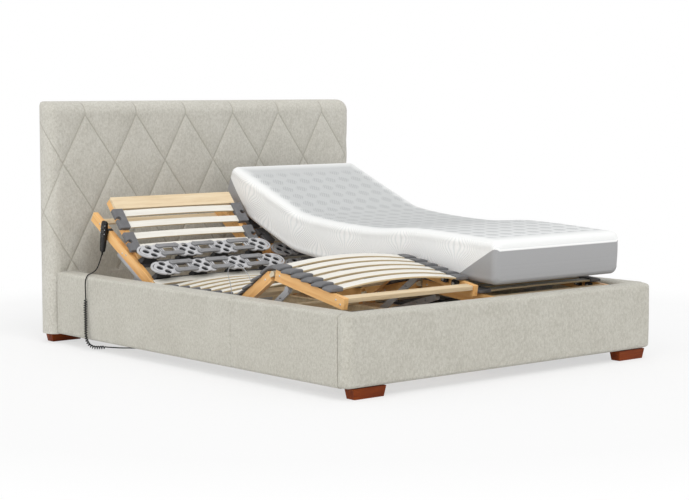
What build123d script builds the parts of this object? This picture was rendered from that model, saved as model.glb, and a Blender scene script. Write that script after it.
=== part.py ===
"""Upholstered double bed with two motorised slatted bases, a handset and one mattress.

Millimetres, +Z up, +Y towards the headboard, +X to the right seen from the foot.
The origin is on the floor under the middle of the bed.  Every section stands as it
is set in use: the left base high at back and knees, the right one lower.
"""
import os
from collections import namedtuple
from math import cos, pi, radians, sin, tan

from build123d import *

# Upholstered bed frame
BED_WIDTH = 1820
BED_LENGTH = 2280
BED_HEIGHT = 1155
HEADBOARD_THICK = 145
RAIL_THICK = 104
RAIL_TOP = 345
RAIL_BOTTOM = 45
FOOT_RETURN = 55
CORNER_RADIUS = 42
HEADBOARD_RADIUS = 26
SOFT_EDGE = 18
FOOT_TOP = (172, 60)
FOOT_FLOOR = (156, 48)
FOOT_PLACES = ((-770, -1090), (795, -1090), (-815, 1090), (815, 1090))

# Supports inside the bed frame
LEDGE = (40, 30)
LEDGE_TOP = 150
BEAM_WIDTH = 90
BEAM_HEIGHT = 60
BEAM_LEG_RADIUS = 25
BEAM_LEG_PLACES = (-700, 0, 700)
BRACKET = (60, 4, 160)
BRACKET_HEIGHT = 250
BOLT_RADIUS = 8
BOLT_HEAD = 6

# Slatted bases: beech sections turning on pivots across the bed
BASE_CENTRE = 400
HALF_WIDTH = 375
RAIL_SECTION = (25, 48)
PIVOT_HEIGHT = 285
BACK_PIVOT_Y = 348
THIGH_PIVOT_Y = -252
PILLOW_PIVOT = 250
BACK_LENGTH = 631
PILLOW_LENGTH = 358
THIGH_LENGTH = 296
LEG_LENGTH = 470
KNEE_BAR = 52
PIVOT_GAP = 20
JOINT_GAP = 0.1

# Fixed wooden under-frame of each base
UNDER_RAIL = (25, 45)
UNDER_RAIL_OUTER = 344
UNDER_RAIL_BOTTOM = 190
UNDER_RAIL_SPAN = (-1000, 960)
CROSS_MEMBER = (792, 60, 40)
CROSS_MEMBER_PLACES = (-950, -520, 560, 910)
BEARER = (750, 50, 26)
BEARER_PLACES = (-190, 290)

# Sprung slats, their holders and the suspension plates
SLAT_THICK = 8
SLAT_RISE = 30
CAP_LENGTH = 55
CAP_BOTTOM = 26
CAP_TOP = 46
CAP_INNER = 318
CAP_OUTER = 388
SLAT_IN_CAP = 18
LEG_SLATS = [32 + 67 * i for i in range(6)]
THIGH_SLATS = [50 + 71 * i for i in range(4)]
SEAT_SLATS = [-202 + 81 * i for i in range(7)]
SLAT_WIDTH = 44
PILLOW_SLATS = (55, 123, 190, 256)
PILLOW_SLAT_WIDTH = 36
PILLOW_CAPS = ((36, 142), (168, 281))
PILLOW_CAP_OUTER = 376
PILLOW_PLANK = (696, 70, 14)
PILLOW_PLANK_AT = 321
LUMBAR_SLAT = 48
PLATE_ROWS = (86, 216)
PLATE_PITCH = 206
PLATE_SIZE = (146, 94)
PLATE_THICK = 8
PLATE_HOLE = 11
PLATE_BAR = 28
PLATE_BAR_SHIFT = 6
MOUNT_SIZE = (96, 36)
LINK_SIZE = (110, 20, 8)
LINK_SPREAD = 30

# Hinges between the sections
KNUCKLE_RADIUS = 12
PIN_RADIUS = 4
PIN_CLEARANCE = 0.05
PRONG = 7.5
TONGUE = 8
NECK_HEIGHT = 16
PILLOW_PIN_RADIUS = 5
PILLOW_RAIL_OUTER = 345
PILLOW_RAIL_LOW = -12
PILLOW_RAIL_START = -12

# Lifting levers and drive
LEVER_HEIGHT = 212
TUBE_RADIUS = 15
ARM = (8, 28)
ARM_OUTER = 360
ARM_HOLE = 5
ROLLER_RADIUS = 13
BACK_LEVER_Y = 400
BACK_LEVER_REACH = 180
LEG_LEVER_Y = -350
LEG_LEVER_REACH = 300
MOTOR_WIDTH = 180
MOTOR_SPAN = (-280, 340)
MOTOR_BOTTOM = 108
MOTOR_TOP = 204
LUG_WIDTH = 70
LUG_HEIGHT = 58
SOCKET_RADIUS = 11
SOCKET_LENGTH = 10
SOCKET_Y = 60

# Handset, hung on the left back rail
HANDSET = (42, 150, 20)
HANDSET_AT = (-789, 768, 522)
HANDSET_TILT = 10
KEY = (28, 13, 4)
KEY_PLACES = (46, 26, 6)
KEY_PIN_RADIUS = 1.2
KEY_PROUD = 1.5
HOOK_THICK = 1.5
HOOK_WIDTH = 18
HOOK_REACH = 24

# Handset cord
LEAD_RADIUS = 2.8
CURL_RADIUS = 9.5
CORD_GAP = 0.8

# Mattress on the right base: places along its top, above the joints, from the head to the foot.
# It is too stiff to follow the sections, and bridges the bend at the seat.
MATTRESS_WIDTH = 796
MATTRESS_THICK = 194
MATTRESS_TOP = ((822, 832), (445, 680), (261, 617), (-218, 583), (-520, 597), (-1041, 577))
MATTRESS_GAP = 2

# One base each side, with the angles its sections are set to.  The mattress presses the
# right one's slats nearly flat and its suspension plates down.
Base = namedtuple("Base", "name centre back pillow thigh leg back_arm leg_arm bow plate_height")
LEFT = Base("left", -BASE_CENTRE, 31, 17.4, 33, 10.7, 43.24, 35.7, 26, 76)
RIGHT = Base("right", BASE_CENTRE, 31, 0, 13, 5.5, 43.24, 16.8, 3, 33.5)
BASES = (LEFT, RIGHT)

INNER_X = BED_WIDTH / 2 - RAIL_THICK
FOOT_FACE = -BED_LENGTH / 2
FOOT_INNER = FOOT_FACE + RAIL_THICK
SEAM_Y = FOOT_FACE + FOOT_RETURN
HEAD_FACE = BED_LENGTH / 2 - HEADBOARD_THICK
RAIL_X = HALF_WIDTH - RAIL_SECTION[0] / 2
RAIL_HALF = RAIL_SECTION[1] / 2
MIRRORED = (-1, 1)


def save(piece, label):
    """Label a finished sub-part and write it."""
    piece.part.label = label
    export_step(piece.part, f"parts/{label}.step")


def tilted(y, z, angle):
    """Plane across the bed through a pivot, its Y along the section towards the head."""
    return Plane(
        origin=(0, y, z),
        x_dir=(1, 0, 0),
        z_dir=(0, -sin(radians(angle)), cos(radians(angle))),
    )


def on(plane, along, up):
    """A point of a section as (y, z) of the bed."""
    place = plane.from_local_coords((0, along, up))
    return place.Y, place.Z


def across(plane, x, along):
    """Plane square to a section, for profiles that are extruded towards the foot."""
    return Plane(
        origin=plane.from_local_coords((x, along, 0)),
        x_dir=(1, 0, 0),
        z_dir=-plane.y_dir,
    )


SEAT = tilted(0, PIVOT_HEIGHT, 0)


def back_plane(base):
    return tilted(BACK_PIVOT_Y, PIVOT_HEIGHT, base.back)


def pillow_plane(base):
    y, z = on(back_plane(base), PILLOW_PIVOT, 0)
    return tilted(y, z, base.back + base.pillow)


def thigh_plane(base):
    return tilted(THIGH_PIVOT_Y, PIVOT_HEIGHT, -base.thigh)


def leg_plane(base):
    y, z = on(thigh_plane(base), -THIGH_LENGTH, 0)
    return tilted(y, z, base.leg)


def block(low, high):
    """A box between two opposite corners of the current workplane."""
    size = [b - a for a, b in zip(low, high)]
    middle = tuple((a + b) / 2 for a, b in zip(low, high))
    with Locations(middle):
        Box(*size)


def side_rails(centre, start, end, outer=HALF_WIDTH, low=-RAIL_HALF):
    """The two long rails of a section, between two places along it."""
    for hand in MIRRORED:
        x = sorted((centre + hand * outer, centre + hand * (outer - RAIL_SECTION[0])))
        block((x[0], start, low), (x[1], end, RAIL_HALF))


def cross_bar(centre, along, width, low, high, half=HALF_WIDTH - RAIL_SECTION[0]):
    """A bar between the rails, glued to their inner faces."""
    reach = half - JOINT_GAP
    block((centre - reach, along - width / 2, low), (centre + reach, along + width / 2, high))


def slat(plane, centre, along, width, bow, half, rise=SLAT_RISE):
    """One sprung slat, arched across the bed."""
    top = rise + SLAT_THICK
    with BuildSketch(across(plane, centre, along + width / 2)) as profile:
        with BuildLine():
            ThreePointArc((-half, rise), (0, rise + bow), (half, rise))
            Line((half, rise), (half, top))
            ThreePointArc((half, top), (0, top + bow), (-half, top))
            Line((-half, top), (-half, rise))
        make_face()
    extrude(profile.sketch, amount=width)


def slat_caps(centre, places, outer=CAP_OUTER):
    """Soft holders on both rails, one at each end of every slat."""
    for along in places:
        for hand in MIRRORED:
            x = sorted((centre + hand * outer, centre + hand * CAP_INNER))
            block(
                (x[0], along - CAP_LENGTH / 2, CAP_BOTTOM),
                (x[1], along + CAP_LENGTH / 2, CAP_TOP),
            )


def slat_half():
    return CAP_INNER + SLAT_IN_CAP


def prongs(centre, y, toward):
    """Outer knuckles of a hinge with its pin, and their necks to the rail end."""
    for hand in MIRRORED:
        middle = centre + hand * RAIL_X
        with Locations((middle, y, 0)):
            Cylinder(PIN_RADIUS, RAIL_SECTION[0], rotation=(0, 90, 0))
        for end in MIRRORED:
            x = middle + end * (RAIL_SECTION[0] - PRONG) / 2
            with Locations((x, y, 0)):
                Cylinder(KNUCKLE_RADIUS, PRONG, rotation=(0, 90, 0))
            reach = toward * (PIVOT_GAP - JOINT_GAP)
            with Locations((x, y + reach / 2, 0)):
                Box(PRONG, abs(reach), NECK_HEIGHT)


def tongues(centre, y, toward):
    """Middle knuckles of a hinge, bored for the pin, and their necks to the rail end."""
    for hand in MIRRORED:
        x = centre + hand * RAIL_X
        reach = toward * (PIVOT_GAP - JOINT_GAP)
        with Locations((x, y, 0)):
            Cylinder(KNUCKLE_RADIUS, TONGUE, rotation=(0, 90, 0))
        with Locations((x, y + reach / 2, 0)):
            Box(TONGUE, abs(reach), NECK_HEIGHT)
        with Locations((x, y, 0)):
            Cylinder(
                PIN_RADIUS + PIN_CLEARANCE, TONGUE, rotation=(0, 90, 0), mode=Mode.SUBTRACT
            )


def headboard():
    with BuildPart() as board:
        with BuildSketch(Plane.XY.offset(RAIL_BOTTOM)):
            with Locations((0, BED_LENGTH / 2 - HEADBOARD_THICK / 2)):
                RectangleRounded(BED_WIDTH, HEADBOARD_THICK, HEADBOARD_RADIUS)
        extrude(amount=BED_HEIGHT - RAIL_BOTTOM)
        fillet(board.faces().sort_by(Axis.Z)[-1].edges(), HEADBOARD_RADIUS - 4)
    save(board, "headboard")


def side_rail(label, hand):
    with BuildPart() as rail:
        x = sorted((hand * INNER_X, hand * BED_WIDTH / 2))
        block((x[0], SEAM_Y + JOINT_GAP, RAIL_BOTTOM), (x[1], HEAD_FACE - JOINT_GAP, RAIL_TOP))
        top = rail.faces().sort_by(Axis.Z)[-1]
        fillet(top.edges().filter_by(Axis.Y), SOFT_EDGE)
    save(rail, label)


def foot_rail():
    with BuildPart() as rail:
        with BuildSketch(Plane.XY.offset(RAIL_BOTTOM)) as plan:
            with Locations((0, (FOOT_FACE + SEAM_Y) / 2)):
                Rectangle(BED_WIDTH, FOOT_RETURN)
            fillet(plan.vertices().group_by(Axis.Y)[0], CORNER_RADIUS)
            with Locations((0, (SEAM_Y + FOOT_INNER) / 2)):
                Rectangle(2 * (INNER_X - JOINT_GAP), RAIL_THICK - FOOT_RETURN)
        extrude(amount=RAIL_TOP - RAIL_BOTTOM)
        top = rail.faces().sort_by(Axis.Z)[-1]
        fillet(top.edges().filter_by(Axis.X).sort_by(Axis.Y)[-1], SOFT_EDGE)
        front = top.edges().sort_by(Axis.Y)[0:3]
        fillet(front, SOFT_EDGE)
    save(rail, "foot_rail")


def feet():
    with BuildPart() as blocks:
        for place in FOOT_PLACES:
            with BuildSketch(Plane.XY):
                with Locations(place):
                    Rectangle(*FOOT_FLOOR)
            with BuildSketch(Plane.XY.offset(RAIL_BOTTOM - JOINT_GAP)):
                with Locations(place):
                    Rectangle(*FOOT_TOP)
            loft()
    save(blocks, "feet")


def support_brackets():
    with BuildPart() as steel:
        for hand in MIRRORED:
            inner = INNER_X - JOINT_GAP
            x = sorted((hand * inner, hand * (inner - LEDGE[0])))
            block(
                (x[0], FOOT_INNER + 2, LEDGE_TOP - LEDGE[1]),
                (x[1], HEAD_FACE - 2, LEDGE_TOP),
            )
            for wall, turn in ((FOOT_INNER + JOINT_GAP, 1), (HEAD_FACE - JOINT_GAP, -1)):
                plate = hand * (inner - BRACKET[1] / 2)
                with Locations((plate, wall + turn * BRACKET[0] / 2, BRACKET_HEIGHT)):
                    Box(BRACKET[1], BRACKET[0], BRACKET[2])
                flange = hand * (inner - BRACKET[0] / 2)
                with Locations((flange, wall + turn * BRACKET[1] / 2, BRACKET_HEIGHT)):
                    Box(BRACKET[0], BRACKET[1], BRACKET[2])
                for up in (-50, 50):
                    head = hand * (inner - BRACKET[1] - BOLT_HEAD / 2)
                    with Locations((head, wall + turn * BRACKET[0] * 0.6, BRACKET_HEIGHT + up)):
                        Cylinder(BOLT_RADIUS, BOLT_HEAD, rotation=(0, 90, 0))
    save(steel, "support_brackets")


def centre_beam():
    with BuildPart() as beam:
        block(
            (-BEAM_WIDTH / 2, FOOT_INNER + JOINT_GAP, LEDGE_TOP - BEAM_HEIGHT),
            (BEAM_WIDTH / 2, HEAD_FACE - JOINT_GAP, LEDGE_TOP),
        )
        height = LEDGE_TOP - BEAM_HEIGHT - JOINT_GAP
        for y in BEAM_LEG_PLACES:
            with Locations((0, y, height / 2)):
                Cylinder(BEAM_LEG_RADIUS, height)
    save(beam, "centre_beam")


def base_frames():
    with BuildPart() as wood:
        rail_top = UNDER_RAIL_BOTTOM + UNDER_RAIL[1]
        bearer_top = rail_top + JOINT_GAP + BEARER[2]
        for base in BASES:
            for hand in MIRRORED:
                x = base.centre + hand * (UNDER_RAIL_OUTER - UNDER_RAIL[0] / 2)
                low = UNDER_RAIL_BOTTOM + JOINT_GAP
                with Locations((x, sum(UNDER_RAIL_SPAN) / 2, (low + rail_top) / 2)):
                    Box(UNDER_RAIL[0], UNDER_RAIL_SPAN[1] - UNDER_RAIL_SPAN[0], rail_top - low)
                for y in (BACK_LEVER_Y, LEG_LEVER_Y):
                    with Locations((x, y, LEVER_HEIGHT)):
                        Cylinder(
                            TUBE_RADIUS + PIN_CLEARANCE,
                            UNDER_RAIL[0],
                            rotation=(0, 90, 0),
                            mode=Mode.SUBTRACT,
                        )
            for y in CROSS_MEMBER_PLACES:
                with Locations((base.centre, y, LEDGE_TOP + JOINT_GAP + CROSS_MEMBER[2] / 2)):
                    Box(CROSS_MEMBER[0], CROSS_MEMBER[1], CROSS_MEMBER[2] - JOINT_GAP)
            for y in BEARER_PLACES:
                with Locations((base.centre, y, bearer_top - BEARER[2] / 2)):
                    Box(*BEARER)
            for hand in MIRRORED:
                inner = HALF_WIDTH - RAIL_SECTION[0]
                x = sorted((base.centre + hand * HALF_WIDTH, base.centre + hand * inner))
                block(
                    (x[0], THIGH_PIVOT_Y + PIVOT_GAP, bearer_top + JOINT_GAP),
                    (x[1], BACK_PIVOT_Y - PIVOT_GAP, PIVOT_HEIGHT + RAIL_HALF),
                )
    save(wood, "base_frames")


def seat_slats():
    with BuildPart() as laths:
        for base in BASES:
            for y in SEAT_SLATS:
                slat(SEAT, base.centre, y, SLAT_WIDTH, base.bow, slat_half())
    save(laths, "seat_slats")


def seat_caps():
    with BuildPart(SEAT) as caps:
        for base in BASES:
            slat_caps(base.centre, SEAT_SLATS)
    save(caps, "seat_caps")


def seat_hinges():
    with BuildPart(SEAT) as hinges:
        for base in BASES:
            prongs(base.centre, BACK_PIVOT_Y, -1)
            prongs(base.centre, THIGH_PIVOT_Y, 1)
    save(hinges, "seat_hinges")


def drive_motors():
    with BuildPart() as motors:
        for base in BASES:
            block(
                (base.centre - MOTOR_WIDTH / 2, MOTOR_SPAN[0], MOTOR_BOTTOM),
                (base.centre + MOTOR_WIDTH / 2, MOTOR_SPAN[1], MOTOR_TOP),
            )
            for y, end in ((BACK_LEVER_Y, MOTOR_SPAN[1]), (LEG_LEVER_Y, MOTOR_SPAN[0])):
                away = 1 if y > end else -1
                span = sorted((end - away * LUG_HEIGHT, y + away * LUG_HEIGHT / 2))
                block(
                    (base.centre - LUG_WIDTH / 2, span[0], LEVER_HEIGHT - LUG_HEIGHT / 2),
                    (base.centre + LUG_WIDTH / 2, span[1], LEVER_HEIGHT + LUG_HEIGHT / 2 - 8),
                )
                with Locations((base.centre, y, LEVER_HEIGHT)):
                    Cylinder(
                        TUBE_RADIUS + PIN_CLEARANCE, LUG_WIDTH, rotation=(0, 90, 0), mode=Mode.SUBTRACT
                    )
            with Locations((base.centre, SOCKET_Y, MOTOR_BOTTOM - SOCKET_LENGTH / 2)):
                Cylinder(SOCKET_RADIUS, SOCKET_LENGTH)
    save(motors, "drive_motors")


def lever(label, base, y, reach, angle):
    """Torsion tube with an arm and roller at each end; the angle is that of the arms."""
    with BuildPart() as steel:
        with Locations((base.centre, y, LEVER_HEIGHT)):
            Cylinder(TUBE_RADIUS, 2 * ARM_OUTER, rotation=(0, 90, 0))
        tip = (y + reach * cos(radians(angle)), LEVER_HEIGHT + reach * sin(radians(angle)))
        middle = ((y + tip[0]) / 2, (LEVER_HEIGHT + tip[1]) / 2)
        for hand in MIRRORED:
            low = base.centre + min(hand * ARM_OUTER, hand * (ARM_OUTER - ARM[0]))
            with BuildSketch(Plane.YZ.offset(low)):
                with Locations(middle):
                    SlotCenterToCenter(reach - 4, ARM[1], rotation=angle)
                for part_way in (0.55, 0.75):
                    spot = (y + part_way * (tip[0] - y), LEVER_HEIGHT + part_way * (tip[1] - LEVER_HEIGHT))
                    with Locations(spot):
                        Circle(ARM_HOLE, mode=Mode.SUBTRACT)
            extrude(amount=ARM[0])
            with Locations((base.centre + hand * RAIL_X, tip[0], tip[1])):
                Cylinder(ROLLER_RADIUS, RAIL_SECTION[0] - 3, rotation=(0, 90, 0))
    save(steel, label)


def back_frame(base):
    with BuildPart(back_plane(base)) as wood:
        side_rails(base.centre, PIVOT_GAP, BACK_LENGTH)
        for row in PLATE_ROWS:
            cross_bar(base.centre, row - PLATE_BAR_SHIFT, PLATE_BAR, 4, RAIL_HALF)
        cross_bar(base.centre, BACK_LENGTH - 24, 40, -RAIL_HALF, PILLOW_RAIL_LOW - 3)
    save(wood, f"{base.name}_back_frame")


def back_fittings(base):
    """Hinge tongues at the seat and the stub pins that carry the pillow section."""
    plane = back_plane(base)
    with BuildPart(plane) as steel:
        tongues(base.centre, 0, 1)
        for hand in MIRRORED:
            outer = HALF_WIDTH - RAIL_SECTION[0] - JOINT_GAP
            inner = PILLOW_RAIL_OUTER - RAIL_SECTION[0] - 4
            with Locations((base.centre + hand * (outer + inner) / 2, PILLOW_PIVOT, 0)):
                Cylinder(PILLOW_PIN_RADIUS, outer - inner, rotation=(0, 90, 0))
    save(steel, f"{base.name}_back_fittings")


def plate_places(base):
    for row in PLATE_ROWS:
        for i in range(4):
            yield base.centre + (i - 1.5) * PLATE_PITCH, row, (i == 3) - (i == 0)


def spring_plates(base):
    """Suspension plates with four holes; the outer end of each row is round."""
    plane = back_plane(base)
    with BuildPart(plane) as plates:
        for x, row, outer in plate_places(base):
            face = Plane(
                origin=plane.from_local_coords((x, row, base.plate_height)),
                x_dir=plane.x_dir,
                z_dir=plane.z_dir,
            )
            with BuildSketch(face):
                RectangleRounded(PLATE_SIZE[0], PLATE_SIZE[1], 24)
                if outer:
                    with Locations((outer * (PLATE_SIZE[0] / 2 - PLATE_SIZE[1] / 2), 0)):
                        Circle(PLATE_SIZE[1] / 2)
                with GridLocations(46, 40, 2, 2):
                    Circle(PLATE_HOLE, mode=Mode.SUBTRACT)
            extrude(amount=PLATE_THICK)
    save(plates, f"{base.name}_spring_plates")


def plate_carriers(base):
    """Sprung mounts under the plates and the bars that link neighbouring plates."""
    with BuildPart(back_plane(base)) as carriers:
        for x, row, _ in plate_places(base):
            block(
                (x - MOUNT_SIZE[0] / 2, row - MOUNT_SIZE[1] / 2, RAIL_HALF + JOINT_GAP),
                (x + MOUNT_SIZE[0] / 2, row + MOUNT_SIZE[1] / 2, base.plate_height - JOINT_GAP),
            )
        middle = base.plate_height + PLATE_THICK + JOINT_GAP + LINK_SIZE[2] / 2
        for row in PLATE_ROWS:
            for gap in (-1, 0, 1):
                for side in MIRRORED:
                    x = base.centre + gap * PLATE_PITCH
                    with Locations((x, row + side * LINK_SPREAD, middle)):
                        Box(*LINK_SIZE)
    save(carriers, f"{base.name}_plate_carriers")


def lumbar_slat(base):
    """The slat between the plates and the seat, lying on the back rails."""
    plane = back_plane(base)
    half = HALF_WIDTH - 4
    rise = RAIL_HALF + JOINT_GAP
    with BuildPart(plane) as lath:
        slat(plane, base.centre, LUMBAR_SLAT, PILLOW_SLAT_WIDTH, base.bow * 0.4, half, rise)
    save(lath, f"{base.name}_lumbar_slat")


def pillow_frame(base):
    with BuildPart(pillow_plane(base)) as wood:
        side_rails(base.centre, PILLOW_RAIL_START, PILLOW_LENGTH, PILLOW_RAIL_OUTER, PILLOW_RAIL_LOW)
        for hand in MIRRORED:
            x = base.centre + hand * (PILLOW_RAIL_OUTER - RAIL_SECTION[0] / 2)
            with Locations((x, 0, 0)):
                Cylinder(
                    PILLOW_PIN_RADIUS + PIN_CLEARANCE,
                    RAIL_SECTION[0],
                    rotation=(0, 90, 0),
                    mode=Mode.SUBTRACT,
                )
        with Locations((base.centre, PILLOW_PLANK_AT, RAIL_HALF + JOINT_GAP + PILLOW_PLANK[2] / 2)):
            Box(*PILLOW_PLANK)
    save(wood, f"{base.name}_pillow_frame")


def pillow_slats(base):
    plane = pillow_plane(base)
    with BuildPart(plane) as laths:
        for along in PILLOW_SLATS:
            slat(plane, base.centre, along, PILLOW_SLAT_WIDTH, base.bow * 0.25, slat_half())
    save(laths, f"{base.name}_pillow_slats")


def pillow_caps(base):
    """Twin holders, each carrying the ends of two slats, notched on the outer side."""
    with BuildPart(pillow_plane(base)) as caps:
        for start, end in PILLOW_CAPS:
            middle = (start + end) / 2
            for hand in MIRRORED:
                x = sorted((base.centre + hand * PILLOW_CAP_OUTER, base.centre + hand * CAP_INNER))
                block((x[0], start, CAP_BOTTOM), (x[1], end, CAP_TOP))
                notch = base.centre + hand * PILLOW_CAP_OUTER
                with Locations((notch, middle, (CAP_BOTTOM + CAP_TOP) / 2)):
                    Cylinder(14, CAP_TOP, mode=Mode.SUBTRACT)
    save(caps, f"{base.name}_pillow_caps")


def thigh_frame(base):
    with BuildPart(thigh_plane(base)) as wood:
        side_rails(base.centre, -(THIGH_LENGTH - PIVOT_GAP), -PIVOT_GAP)
        cross_bar(base.centre, -THIGH_LENGTH / 2, 40, -RAIL_HALF, -4)
    save(wood, f"{base.name}_thigh_frame")


def thigh_slats(base):
    plane = thigh_plane(base)
    with BuildPart(plane) as laths:
        for along in THIGH_SLATS:
            slat(plane, base.centre, -along, SLAT_WIDTH, base.bow, slat_half())
    save(laths, f"{base.name}_thigh_slats")


def thigh_caps(base):
    with BuildPart(thigh_plane(base)) as caps:
        slat_caps(base.centre, [-along for along in THIGH_SLATS])
    save(caps, f"{base.name}_thigh_caps")


def thigh_fittings(base):
    """Hinge tongues at the seat, and the prongs and pins of the knee."""
    with BuildPart(thigh_plane(base)) as hinges:
        tongues(base.centre, 0, -1)
        prongs(base.centre, -THIGH_LENGTH, 1)
    save(hinges, f"{base.name}_thigh_fittings")


def leg_frame(base):
    with BuildPart(leg_plane(base)) as wood:
        side_rails(base.centre, -LEG_LENGTH, -PIVOT_GAP)
        cross_bar(base.centre, -LEG_LENGTH + 26, 42, 2, RAIL_HALF - 2)
        cross_bar(base.centre, -KNEE_BAR, 40, -RAIL_HALF, -4)
    save(wood, f"{base.name}_leg_frame")


def leg_slats(base):
    plane = leg_plane(base)
    with BuildPart(plane) as laths:
        for along in LEG_SLATS:
            slat(plane, base.centre, -along, SLAT_WIDTH, base.bow, slat_half())
    save(laths, f"{base.name}_leg_slats")


def leg_caps(base):
    with BuildPart(leg_plane(base)) as caps:
        slat_caps(base.centre, [-along for along in LEG_SLATS])
    save(caps, f"{base.name}_leg_caps")


def leg_fittings(base):
    with BuildPart(leg_plane(base)) as hinges:
        tongues(base.centre, 0, -1)
    save(hinges, f"{base.name}_leg_fittings")


# Handset: its own plane lies in its middle, X across, Y up its length, Z outwards
LEAN = radians(HANDSET_TILT)
HANDSET_UP = Vector(0, -sin(LEAN), cos(LEAN))
HANDSET_PLANE = Plane(origin=HANDSET_AT, x_dir=HANDSET_UP.cross(Vector(-1, 0, 0)), z_dir=(-1, 0, 0))


def handset():
    """Shell with pockets for the keys, and the bent strap that hangs it on the back rail."""
    with BuildPart(HANDSET_PLANE) as shell:
        Box(*HANDSET)
        fillet(shell.edges().filter_by(lambda e: abs(e.tangent_at(0).X) > 0.9), 14)
        face = HANDSET[2] / 2
        for along in KEY_PLACES:
            with Locations((0, along, face - 3)):
                Box(KEY[0] + 1, KEY[1] + 1, 6, mode=Mode.SUBTRACT)
            with Locations((0, along, face + KEY_PROUD - KEY[2] / 2)):
                Cylinder(KEY_PIN_RADIUS, KEY[1] + 2, rotation=(90, 0, 0))
        rail = back_plane(LEFT)
        grip = rail.to_local_coords(Vector(*HANDSET_AT)).Y
        outer = LEFT.centre - HALF_WIDTH - JOINT_GAP
        shell_back = HANDSET_AT[0] + HANDSET[2] / 2 + JOINT_GAP
        over = RAIL_HALF + JOINT_GAP
        for start, end, low in ((shell_back, outer, -RAIL_HALF), (shell_back, outer + HOOK_REACH, over)):
            with BuildSketch(rail.offset(low)):
                with Locations(((start + end) / 2, grip)):
                    Rectangle(end - start, HOOK_WIDTH)
            extrude(amount=over + HOOK_THICK - low)
    save(shell, "handset")


def handset_key(label, along):
    """Rocker key: its ends press in turn, to raise or lower one section."""
    face = HANDSET[2] / 2
    with BuildPart(HANDSET_PLANE) as key:
        with Locations((0, along, face + KEY_PROUD - KEY[2] / 2)):
            Box(*KEY)
            Cylinder(
                KEY_PIN_RADIUS + PIN_CLEARANCE, KEY[1], rotation=(90, 0, 0), mode=Mode.SUBTRACT
            )
    save(key, label)


def corner_radii(points):
    """Largest even bends of a cord's route, one for each inner point."""
    radii = []
    for before, corner, after in zip(points, points[1:], points[2:]):
        into = Vector(*corner) - Vector(*before)
        out = Vector(*after) - Vector(*corner)
        turn = radians(into.get_angle(out))
        radii.append(0.45 * min(into.length, out.length) / tan(turn / 2))
    return radii


def cord(label, points, radius):
    radii = corner_radii(points)
    print(label, "bend radii", [round(r) for r in radii])
    with BuildPart() as tube:
        with BuildLine() as route:
            FilletPolyline(*points, radius=radii)
        length = sum(edge.length for edge in route.edges())
        with BuildSketch(Plane(origin=route.line @ 0, z_dir=route.line % 0)):
            Circle(radius)
        sweep()
    print(label, "volume share", round(tube.part.volume / (pi * radius**2 * length), 3))
    save(tube, label)


OUTSIDE = -BED_WIDTH / 2 - CURL_RADIUS - 1
HANG_Y = 722
CURL_TOP = 246
CURL_ROUTE = [
    (OUTSIDE, HANG_Y + 2, CURL_TOP),
    (OUTSIDE - 3, HANG_Y + 4, 198),
    (OUTSIDE - 2, HANG_Y + 1, 152),
    (OUTSIDE - 5, HANG_Y - 5, 108),
    (OUTSIDE - 9, HANG_Y - 10, 70),
    (OUTSIDE - 4, HANG_Y - 16, 34),
    (OUTSIDE + 20, HANG_Y - 22, 13),
    (OUTSIDE + 58, HANG_Y - 30, 10),
    (OUTSIDE + 88, HANG_Y - 40, 10.2),
]
SOCKET = (LEFT.centre, SOCKET_Y, MOTOR_BOTTOM - SOCKET_LENGTH)


def upper_lead():
    lower_end = Vector(*HANDSET_AT) - HANDSET_UP * (HANDSET[1] / 2 + CORD_GAP)
    start = (lower_end.X, lower_end.Y, lower_end.Z)
    points = [
        start,
        (start[0] - 1, start[1] + 10, start[2] - 26),
        (start[0] - 6, start[1] + 20, start[2] - 56),
        (start[0] - 20, start[1] + 20, start[2] - 82),
        (start[0] - 48, start[1] + 4, RAIL_TOP + 10),
        (start[0] - 82, start[1] - 24, RAIL_TOP + 7),
        (OUTSIDE + 16, HANG_Y + 10, RAIL_TOP + 5),
        (OUTSIDE - 1, HANG_Y + 3, RAIL_TOP - 20),
        (OUTSIDE - 2, HANG_Y, CURL_TOP + 38),
        (OUTSIDE, HANG_Y + 2, CURL_TOP + CORD_GAP),
    ]
    cord("handset_lead", points, LEAD_RADIUS)


def floor_lead():
    start = CURL_ROUTE[-1]
    low = LEAD_RADIUS + 0.5
    points = [
        (start[0] + CORD_GAP, start[1] - 0.3, start[2]),
        (start[0] + 26, start[1] - 8, 7),
        (start[0] + 60, start[1] - 24, low),
        (start[0] + 104, start[1] - 62, low),
        (start[0] + 132, start[1] - 118, low),
        (start[0] + 178, start[1] - 166, low),
        (start[0] + 226, start[1] - 224, low),
        (start[0] + 262, start[1] - 292, low),
        (start[0] + 312, start[1] - 352, low),
        (start[0] + 356, start[1] - 420, low),
        (start[0] + 398, start[1] - 488, low),
        (SOCKET[0] - 14, SOCKET[1] + 66, low),
        (SOCKET[0] - 8, SOCKET[1] + 28, low + 10),
        (SOCKET[0] - 2, SOCKET[1] + 8, low + 38),
        (SOCKET[0], SOCKET[1], SOCKET[2] - 24),
        (SOCKET[0] + 0.5, SOCKET[1], SOCKET[2] - CORD_GAP),
    ]
    cord("floor_lead", points, LEAD_RADIUS)


def mattress_piece(label, corners):
    """One length of the mattress, from its side outline."""
    with BuildPart() as foam:
        with BuildSketch(Plane.YZ.offset(RIGHT.centre - MATTRESS_WIDTH / 2)):
            with BuildLine():
                Polyline(*corners, close=True)
            make_face()
        extrude(amount=MATTRESS_WIDTH)
    save(foam, label)


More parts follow.
